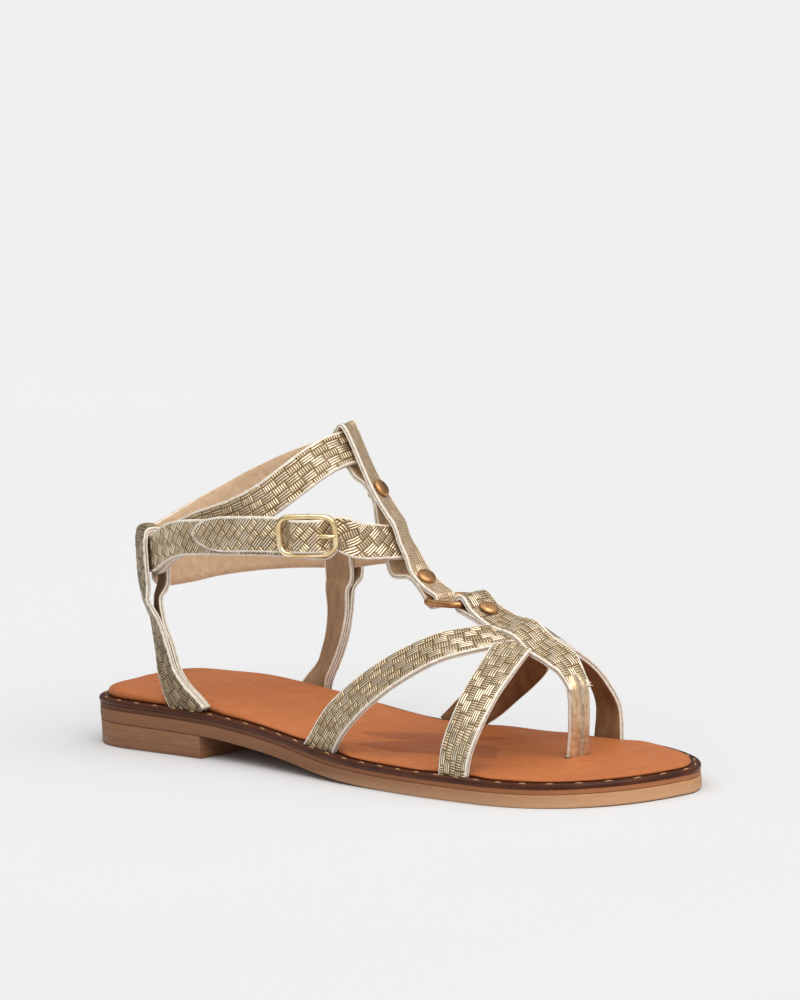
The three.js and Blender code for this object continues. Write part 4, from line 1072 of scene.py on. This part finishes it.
# The heel and toe colours hold painted shade at the heel and painted light at the toe along with the
# leathers' own tones.
outsole_leather = sole_leather(
    "outsole_leather", fore=(0.1, 0.24), heel=srgb(139, 97, 69), toe=srgb(208, 158, 114),
    streak=srgb(112, 74, 50), streaks=(7, 160, 0.65, 0.55), shine=0.2, grain=1100, rough=(0.66, 0.52),
    bump=(0.00018, 0.3), low=srgb(214, 172, 136))
midsole_leather = sole_leather(
    "midsole_leather", fore=(0.03, 0.21), heel=srgb(94, 55, 34), toe=srgb(170, 108, 70),
    streak=srgb(70, 40, 24), streaks=(6, 150, 0.6, 0.4), shine=0.22, grain=1300, rough=(0.6, 0.45),
    bump=(0.0001, 1))
welt_leather = waxed("waxed_welt", srgb(86, 40, 17), srgb(48, 21, 8), 0.4)
heel_leather = heel_look()
footbed_leather = footbed_look()
# Dark colour for the slot round the toe post: painted shade.
slot_shade = plain("footbed_slot_painted_shade", srgb(120, 66, 36), srgb(86, 44, 24), 0.8, 900)
thread = plain("thread", srgb(206, 160, 116), srgb(150, 106, 70), 0.7, 1500)


# The sole

def build_sole():
    t = outsole_thickness
    piece("outsole_leather_sole", layer([
        (0, 1, 0), (0, 0.5, 0), (1.4, 0, 0), (0.6, 0, 0), (0.25, 0, 0.12), (0.06, 0, 0.35), (0, 0, 0.7),
        (-0.05, 0, t * 0.5), (0, 0, t - 0.3), (0.18, 0, t), (0, 0.5, t), (0, 1, t)]),
        "outsole", [outsole_leather], "outsole")
    low, high = t + 0.05, t + seat + midsole_thickness + 0.2
    piece("midsole_layer", layer([
        (0, 1, low), (0, 0.5, low), (0.35, 0, low), (0.1, 0, low + 0.25), (0.1, 0, high - 0.25),
        (0.35, 0, high), (0, 0.5, high), (0, 1, high)]), "midsole", [midsole_leather], "midsole")
    base = sole_stack - welt_thickness - 0.05
    profile = [
        (welt_width, 0), (0.1, 0), (-0.12, 0.2), (-0.2, 0.45), (-0.12, 0.7), (0.12, 0.9), (0.45, 1),
        (welt_groove - 0.5, 1), (welt_groove - 0.25, 0.9), (welt_groove, 0.8), (welt_groove + 0.25, 0.9),
        (welt_groove + 0.5, 1), (2.4, 1), (welt_width, 1)]
    rings = [(inset, 0, base + (welt_thickness + 0.05) * part) for inset, part in profile]
    piece("waxed_welt_rim", layer(rings, closed=True), "welt", [welt_leather], "welt")
    build_stitches(welt_groove)
    build_heel()


def build_heel():
    """The stack under the heel seat, cut straight at its breast."""
    edge = 0.7

    def at(height):
        return lambda x: np.full(len(x), height)

    def top(x):
        return np.maximum(sole_bottom(x) - 0.05, 2 * edge)

    def below_top(x):
        return top(x) - 0.3
    mesh = layer([
        (0, 1, at(0)), (0, 0.5, at(0)), (edge, 0, at(0)), (0.25, 0, at(0.2)), (0.05, 0, at(0.55)),
        (0.05, 0, below_top), (0.2, 0, top), (0, 0.5, top), (0, 1, top)])
    with edited(mesh) as bm:
        bmesh.ops.bisect_plane(bm, geom=bm.verts[:] + bm.edges[:] + bm.faces[:], dist=1e-6,
                               plane_co=((x_at(0) + heel_length) * MM, 0, 0), plane_no=(1, 0, 0),
                               clear_outer=True)
        bmesh.ops.holes_fill(bm, edges=[e for e in bm.edges if e.is_boundary], sides=0)
    mesh.set_sharp_from_angle(angle=radians(35))
    piece("stacked_heel_block", mesh, "heel", [heel_leather], "heel")


def outline_at(inset, spacing):
    """Even places along the outline at an inset, with the way along it."""
    flat = outline + outline_inward * inset
    loop = np.vstack([flat, flat[:1]])
    length = np.concatenate([[0], np.cumsum(np.linalg.norm(np.diff(loop, axis=0), axis=1))])
    count = int(length[-1] / spacing)
    at = np.arange(count) / count * length[-1]
    xy = np.column_stack([np.interp(at, length, loop[:, n]) for n in (0, 1)])
    ahead = np.column_stack([np.interp(at + 0.4, length, loop[:, n]) for n in (0, 1)])
    return xy, unit(ahead - xy)


def build_stitches(inset):
    """Short threads in the groove, each sunk at both ends."""
    xy, ways = outline_at(inset, stitch_pitch)
    angles = np.arange(8) / 8 * 2 * pi
    meshes = []
    for (x, y), (dx, dy) in zip(xy, ways):
        rows = []
        for p in np.arange(9) / 8 * 2 - 1:
            radius = 0.27 * sqrt(max(1 - p * p * 0.96, 0)) * (1 if abs(p) < 0.9 else 0.8)
            cx, cy = x + dx * p * 1.75, y + dy * p * 1.75
            cz = float(welt_top(cx)) - 0.02 - 0.3 * p * p
            rows.append([(cx - dy * radius * cos(t), cy + dx * radius * cos(t),
                          cz + radius * sin(t)) for t in angles])
        meshes.append(grid_mesh(np.array(rows)))
    piece("welt_stitches", joined(*meshes, angle=None), "welt", [thread])


def build_footbed():
    xy = outline
    pinch = pinch_at(xy)
    inset = footbed_inset + footbed_pinch * pinch

    def share(part):
        return lambda x: welt_top(x) + 0.04 + (pad_at(x) + seat - 0.04) * part
    rows = [
        (inset * 0 + 7.5, 0, share(0), 1), (inset + 0.75, 0, share(0), 1), (inset + 0.3, 0, share(0.05), 1),
        (inset + 0.05, 0, share(0.16), 1), (inset - 0.02, 0, share(0.32), 0.95),
        (inset + 0.08, 0, share(0.48), 0.8), (inset + 0.38, 0, share(0.62), 0.6),
        (inset + 0.85, 0, share(0.73), 0.4), (inset + 1.5, 0, share(0.815), 0.25),
        (inset + 2.5, 0, share(0.875), 0.12), (inset + 3.6, 0, share(0.91), 0.05)]
    rows += [(inset + 3.6, p, share(1 - 0.09 * (1 - p) ** 3), 0)
             for p in (0.06, 0.13, 0.21, 0.3, 0.42, 0.56, 0.7, 0.85, 1)]
    grid, rims = [], []
    for index, (away, pull, height, rim) in enumerate(rows):
        flat = lerp(xy + outline_inward * np.reshape(away, (-1, 1)), outline_spine, pull)
        z = height(flat[:, 0])
        if index > 3:
            bulge = 0.16 * np.sin(flat[:, 0] * 0.21 + 1.3 * np.sign(xy[:, 1])) * (1 - pull)
            z = z + bulge * (1 - pinch) * min((index - 3) / 5, 1)
        grid.append(np.column_stack([flat, z]))
        rims.append(np.full(len(flat), rim) * (0.7 + 0.6 * pinch))
    grid = np.array(grid)
    mesh = grid_mesh(grid, caps=False, merge=False)
    attribute = mesh.attributes.new("rim", "FLOAT", "POINT")
    attribute.data.foreach_set("value", np.clip(np.array(rims), 0, 1).astype(np.float32).ravel())
    with edited(mesh) as bm:
        bmesh.ops.remove_doubles(bm, verts=bm.verts, dist=same_place)
        bmesh.ops.holes_fill(bm, edges=[e for e in bm.edges if e.is_boundary], sides=0)
    smooth_all(mesh)
    return piece("padded_footbed", mesh, "footbed", [footbed_leather], "footbed")


# Straps and hardware

def build_upper():
    rear = vamp_run(upper_vamp_rows, "vamp_rear_lateral", "vamp_front_medial")
    front = vamp_run(lower_vamp_rows, "vamp_front_lateral", "vamp_rear_medial")
    for name, run in (("vamp_strap_rear", rear), ("vamp_strap_front", front)):
        piece(name, strap_mesh(run, vamp_width, strap_wall, clip=True), "strap_leather", strap_looks, "upper")
    run = centre_run()
    piece("centre_strap", strap_mesh(run, run.width, strap_wall), "strap_leather", strap_looks, "upper")
    build_post()
    build_threads()


def build_post():
    """The toe post, two rolls side by side with cut edges and painted shade in the groove between them, and
    the slot of the footbed round it as a dark lens of painted shade.
    """
    path = Run(post_points(), [inward] * 5, pitch=0.4)
    sides = 48
    a = np.arange(sides) / sides * 2 * pi
    groove = 1 - 0.26 * np.exp(-(np.cos(a) / 0.3) ** 2)
    grow = lerp(0.86, 1, smooth(path.t, 0, 0.3))[:, None]
    s, o = post_width / 2 * grow * np.cos(a), post_depth / 2 * grow * np.sin(a) * groove
    s, o = s + 0 * o, o + 0 * s
    around = np.concatenate([[0], np.cumsum(np.hypot(np.diff(s[-1]), np.diff(o[-1])))])
    lift = 0.18 * (weave_height(path.s[:, None] + 0 * s, around[None] + 0 * s) - 0.5)
    length = np.maximum(np.hypot(s, o), 1e-6)
    s, o = s * (1 + lift / length), o * (1 + lift / length)
    grid = path.centre[:, None] + path.side[:, None] * s[..., None] + path.out[:, None] * o[..., None]
    uv = np.stack([path.s[:, None] + 0 * s, around[None] + 0 * s], -1)
    uv = np.concatenate([uv, uv[:, :1] + [0, 0.5]], 1)
    kinds = np.zeros(grid.shape[:2], int)
    middle = a + pi / sides
    kinds[:, np.abs(np.sin(middle)) < 0.2] = CREAM
    # The groove between the two rolls is coloured dark as painted shade.
    kinds[:, np.abs(np.cos(middle)) < 0.07] = SHADED_GAP
    piece("toe_post", grid_mesh(grid, uv=uv, kinds=kinds), "strap_leather", post_looks, "upper")
    foot = post_points()[3] + [0, 0, 0.14]

    # The slot is a thin dark lens on the footbed: painted shade where the post goes in.
    def slot(p, wide, turn):
        return foot + vec(1.9 * wide * cos(turn), (post_width / 2 + 1.3) * p, 0.16 * wide * sin(turn))
    piece("post_slot_painted_shade", lens(slot), "footbed", [slot_shade])


def build_threads():
    """Frayed thread ends where the centre strap is sewn to the toe post."""
    top = centre_points[-2]
    meshes = []
    ends = [(-1.9, 2.2, -0.8, 2.4), (-0.6, 2.9, -0.3, 1.5), (2.6, 2.0, 1.1, 1.9), (3.3, 1.5, 1.6, 0.6)]
    for y, dx, dy, dz in ends:
        base = top + [0.9, y, -0.3]
        points = [base, base + [dx * 0.5, dy * 0.3, dz * 0.7], base + [dx, dy, dz]]
        run = Run(points, [vec(0.1, 1, 0.0)] * 3, pitch=0.3)
        taper = 0.42 * lerp(1, 0.4, run.t)
        meshes.append(grid_mesh(tube_grid(run, taper, 8)))
    piece("thread_ends", joined(*meshes), "strap_leather", [cream])


def build_ankle():
    """The weave runs along the upper wrap and at 45 degrees on the lower; both changes hide in a loop."""
    run = ankle_run()
    turned = (run.here < weave_turns[0]) | (run.here > weave_turns[1])
    piece("ankle_strap_wrap", strap_mesh(run, run.width, strap_wall, turned=turned),
          "strap_leather", ankle_looks, "ankle_strap")
    keeper = strap_mesh(keeper_run(), opening_height - 1.4, keeper_wall, relief=0.08, ease=0.15)
    piece("buckle_keeper", keeper, "strap_leather", strap_looks, "ankle_strap")
    piece("instep_band", strap_mesh(loop_run(), band_width, fold_wall, relief=0.06),
          "strap_leather", band_looks, "instep_loop")
    # The heel straps take darker copies as painted shade: the lateral one of the gold and the lining, the
    # medial one of the lining.
    for side, foot, turn, rise, layers, play, looks in (
            ("lateral", "heel_lateral", 135, 0.9, 2, 2.1, lateral_heel_shaded_looks),
            ("medial", "heel_medial", 262, 0.858, 1, 0.9, medial_heel_looks_shaded_lining)):
        run = heel_run(strap_feet[foot], heel_rows[side], turn, rise, layers, play)
        mesh = strap_mesh(run, heel_strap_width, fold_wall, lined=run.t > 0.5, clip=True)
        piece(f"heel_strap_{side}_fold", mesh, "strap_leather", looks, "heel_strap_" + side)


def build_hardware():
    centre = vec((ring_front_x + ring_rear_x) / 2, midline_across, ring_z)
    ring = wire_loop(lambda across, along: centre + vec(along, across, 0),
                     ring_length, ring_width, 3, ring_wire, upward)
    piece("ring_wire", grid_mesh(ring, closed_rows=True), "rose_metal", [rose], "ring")
    loop = wire_loop(lambda f, up: on_buckle(f, up, frame_out), buckle_length, buckle_height, 3.6,
                     buckle_wire, buckle_out)
    half = (buckle_height - buckle_wire) / 2

    def rod(a, b, diameter):
        run = Run([a, b], [buckle_forward] * 2, pitch=0.6)
        return grid_mesh(tube_grid(run, diameter, 18))
    bar = rod(on_buckle(0, -half - 0.4, bar_out), on_buckle(0, half + 0.4, bar_out), bar_wire)
    lugs = [rod(on_buckle(0, sign * half, bar_out - bar_wire / 2 + 0.1), on_buckle(0, sign * half, frame_out),
                buckle_wire * 0.9) for sign in (1, -1)]
    piece("buckle_frame_wire", joined(grid_mesh(loop, closed_rows=True), bar, *lugs),
          "gold_metal", [pale_gold], "buckle_frame")
    hook = prong_rise
    points = [on_buckle(-hook, 0, bar_out - 0.1), on_buckle(-hook * 0.7, 0, bar_out + hook * 0.72),
              on_buckle(0, 0, bar_out + hook), on_buckle(2.2, 0, bar_out + hook + 0.35),
              on_buckle(5, 0, frame_out + 1.2), on_buckle(8, 0, frame_out + 2.1),
              on_buckle(10.9, 0, frame_out + buckle_wire / 2 + seat + 0.9)]
    run = Run(points, [buckle_up] * len(points), pitch=0.3)
    taper = prong_wire * lerp(1.1, 0.72, smooth(run.t, 0.75, 1))
    taper = taper * np.sqrt(np.clip((run.length - run.s) / 0.6, 0.05, 1))
    prong = grid_mesh(tube_grid(run, taper, 18))
    piece("buckle_prong_wire", prong, "gold_metal", [pale_gold], "buckle_prong")

    # A dark lens on the strap where the prong goes through: painted shade in the slit.
    def slit(p, wide, turn):
        return on_buckle(5.4 + 1.7 * p, 0.62 * wide * cos(turn), 2.98 + 0.5 * wide * sin(turn))
    piece("prong_slit_painted_shade", lens(slit), "strap_leather", [gap_painted_shade])
    build_rivets()


def build_rivets():
    sides = 40
    for name, (middle, out, grip) in rivet_places().items():
        cap = rivet_cap / 2
        face = grip / 2 + rivet_seat
        profile = [(0.0, -face - 0.9), (cap * 0.5, -face - 0.9), (cap * 0.58, -face - 0.1),
                   (1.1, -face - 0.1), (1.1, face), (cap * 0.97, face - 0.3), (cap, face - 0.1)]
        profile += [(cap * cos(a) ** 0.8, face + 1.1 * sin(a))
                    for a in np.linspace(0.12, pi / 2, 10)]
        turn = Vector((0, 0, 1)).rotation_difference(Vector(out)).to_matrix()
        grid = [[np.array(turn @ Vector((radius * cos(a), radius * sin(a), height))) + middle
                 for a in np.arange(sides) / sides * 2 * pi] for radius, height in profile]
        mesh = grid_mesh(np.array(grid), caps=False, angle=60)
        piece(name + "_cap", mesh, "rose_metal", [rose], name)


def rivet_places():
    places = {}
    for name, rise in (("rivet_instep_upper", 1.225), ("rivet_instep_lower", 0.84)):
        middle, _, up = instep_frame(height_at(rise))
        places[name] = (middle, unit(np.cross(loop_side(rise), up)), 2 * loop_gap + fold_wall)
    along = unit(centre_points[2] - centre_points[0])
    out = vec(-along[2], 0, along[0])
    drop = (strap_wall - 0.1) / 2
    places["rivet_centre_strap"] = (lerp(centre_points[1], centre_points[2], 0.2) - out * drop, out,
                                    2 * strap_wall + 0.4)
    return places


build_sole()
build_footbed()
build_upper()
build_ankle()
build_hardware()


# Stage, light and camera

def build_stage():
    mesh = bpy.data.meshes.new("floor")
    r = 12.0
    mesh.from_pydata([(-r, -r, 0), (r, -r, 0), (r, r, 0), (-r, r, 0)], [], [(0, 1, 2, 3)])
    floor = placed("floor", mesh)
    m = Shader("pale_floor", Roughness=0.9, Specular_IOR_Level=0.1)
    tint = m.noise(m.place(), 3, 2, 0.5)
    m.colour(m.ramp(tint, (0.3, (0.698, 0.698, 0.698, 1)), (0.7, (0.708, 0.708, 0.708, 1))))
    mesh.materials.append(m.material)


def sun(name, way, strength, angle):
    data = bpy.data.lights.new(name, "SUN")
    data.energy = strength
    data.angle = radians(angle)
    light = placed(name, data)
    light.rotation_euler = Vector(way).to_track_quat("Z", "Y").to_euler()


def build_light():
    world = bpy.data.worlds.new("studio")
    world.use_nodes = True
    m = Nodes(world.node_tree)
    tilt = m.node("VectorMath", m.node("TexCoord").outputs["Generated"], (0.32, -0.08, 0.8))
    tilt.operation = "DOT_PRODUCT"
    sky = m.ramp(tilt.outputs["Value"], (0.0, 0.2), (0.9, 0.98))
    background = m.tree.nodes["Background"]
    m.put(background.inputs[0], sky)
    background.inputs[1].default_value = 1.0
    bpy.context.scene.world = world
    sun("key", (1.0, -0.35, 1.25), 1.9, 62)
    sun("top", (-0.5, -0.6, 1.6), 0.45, 60)


def build_camera():
    data = bpy.data.cameras.new("photo_view")
    data.sensor_width = 36
    data.lens = 9055.928556 * 36 / 1000
    data.clip_start, data.clip_end = 0.1, 60
    camera = placed("photo_view", data)
    right = Vector((0.6680715666, 0.7416359714, -0.0604687339))
    up = Vector((-0.0647369854, 0.1388869249, 0.9881900348))
    forward = Vector((-0.7412755929, 0.6562671011, -0.1407976825))
    place = Matrix((right, up, -forward)).transposed().to_4x4()
    place.translation = (2.327916821, -1.967053868, 0.511355263)
    camera.matrix_world = place
    bpy.context.scene.camera = camera


build_stage()
build_light()
build_camera()
bpy.context.scene.view_settings.view_transform = "Standard"
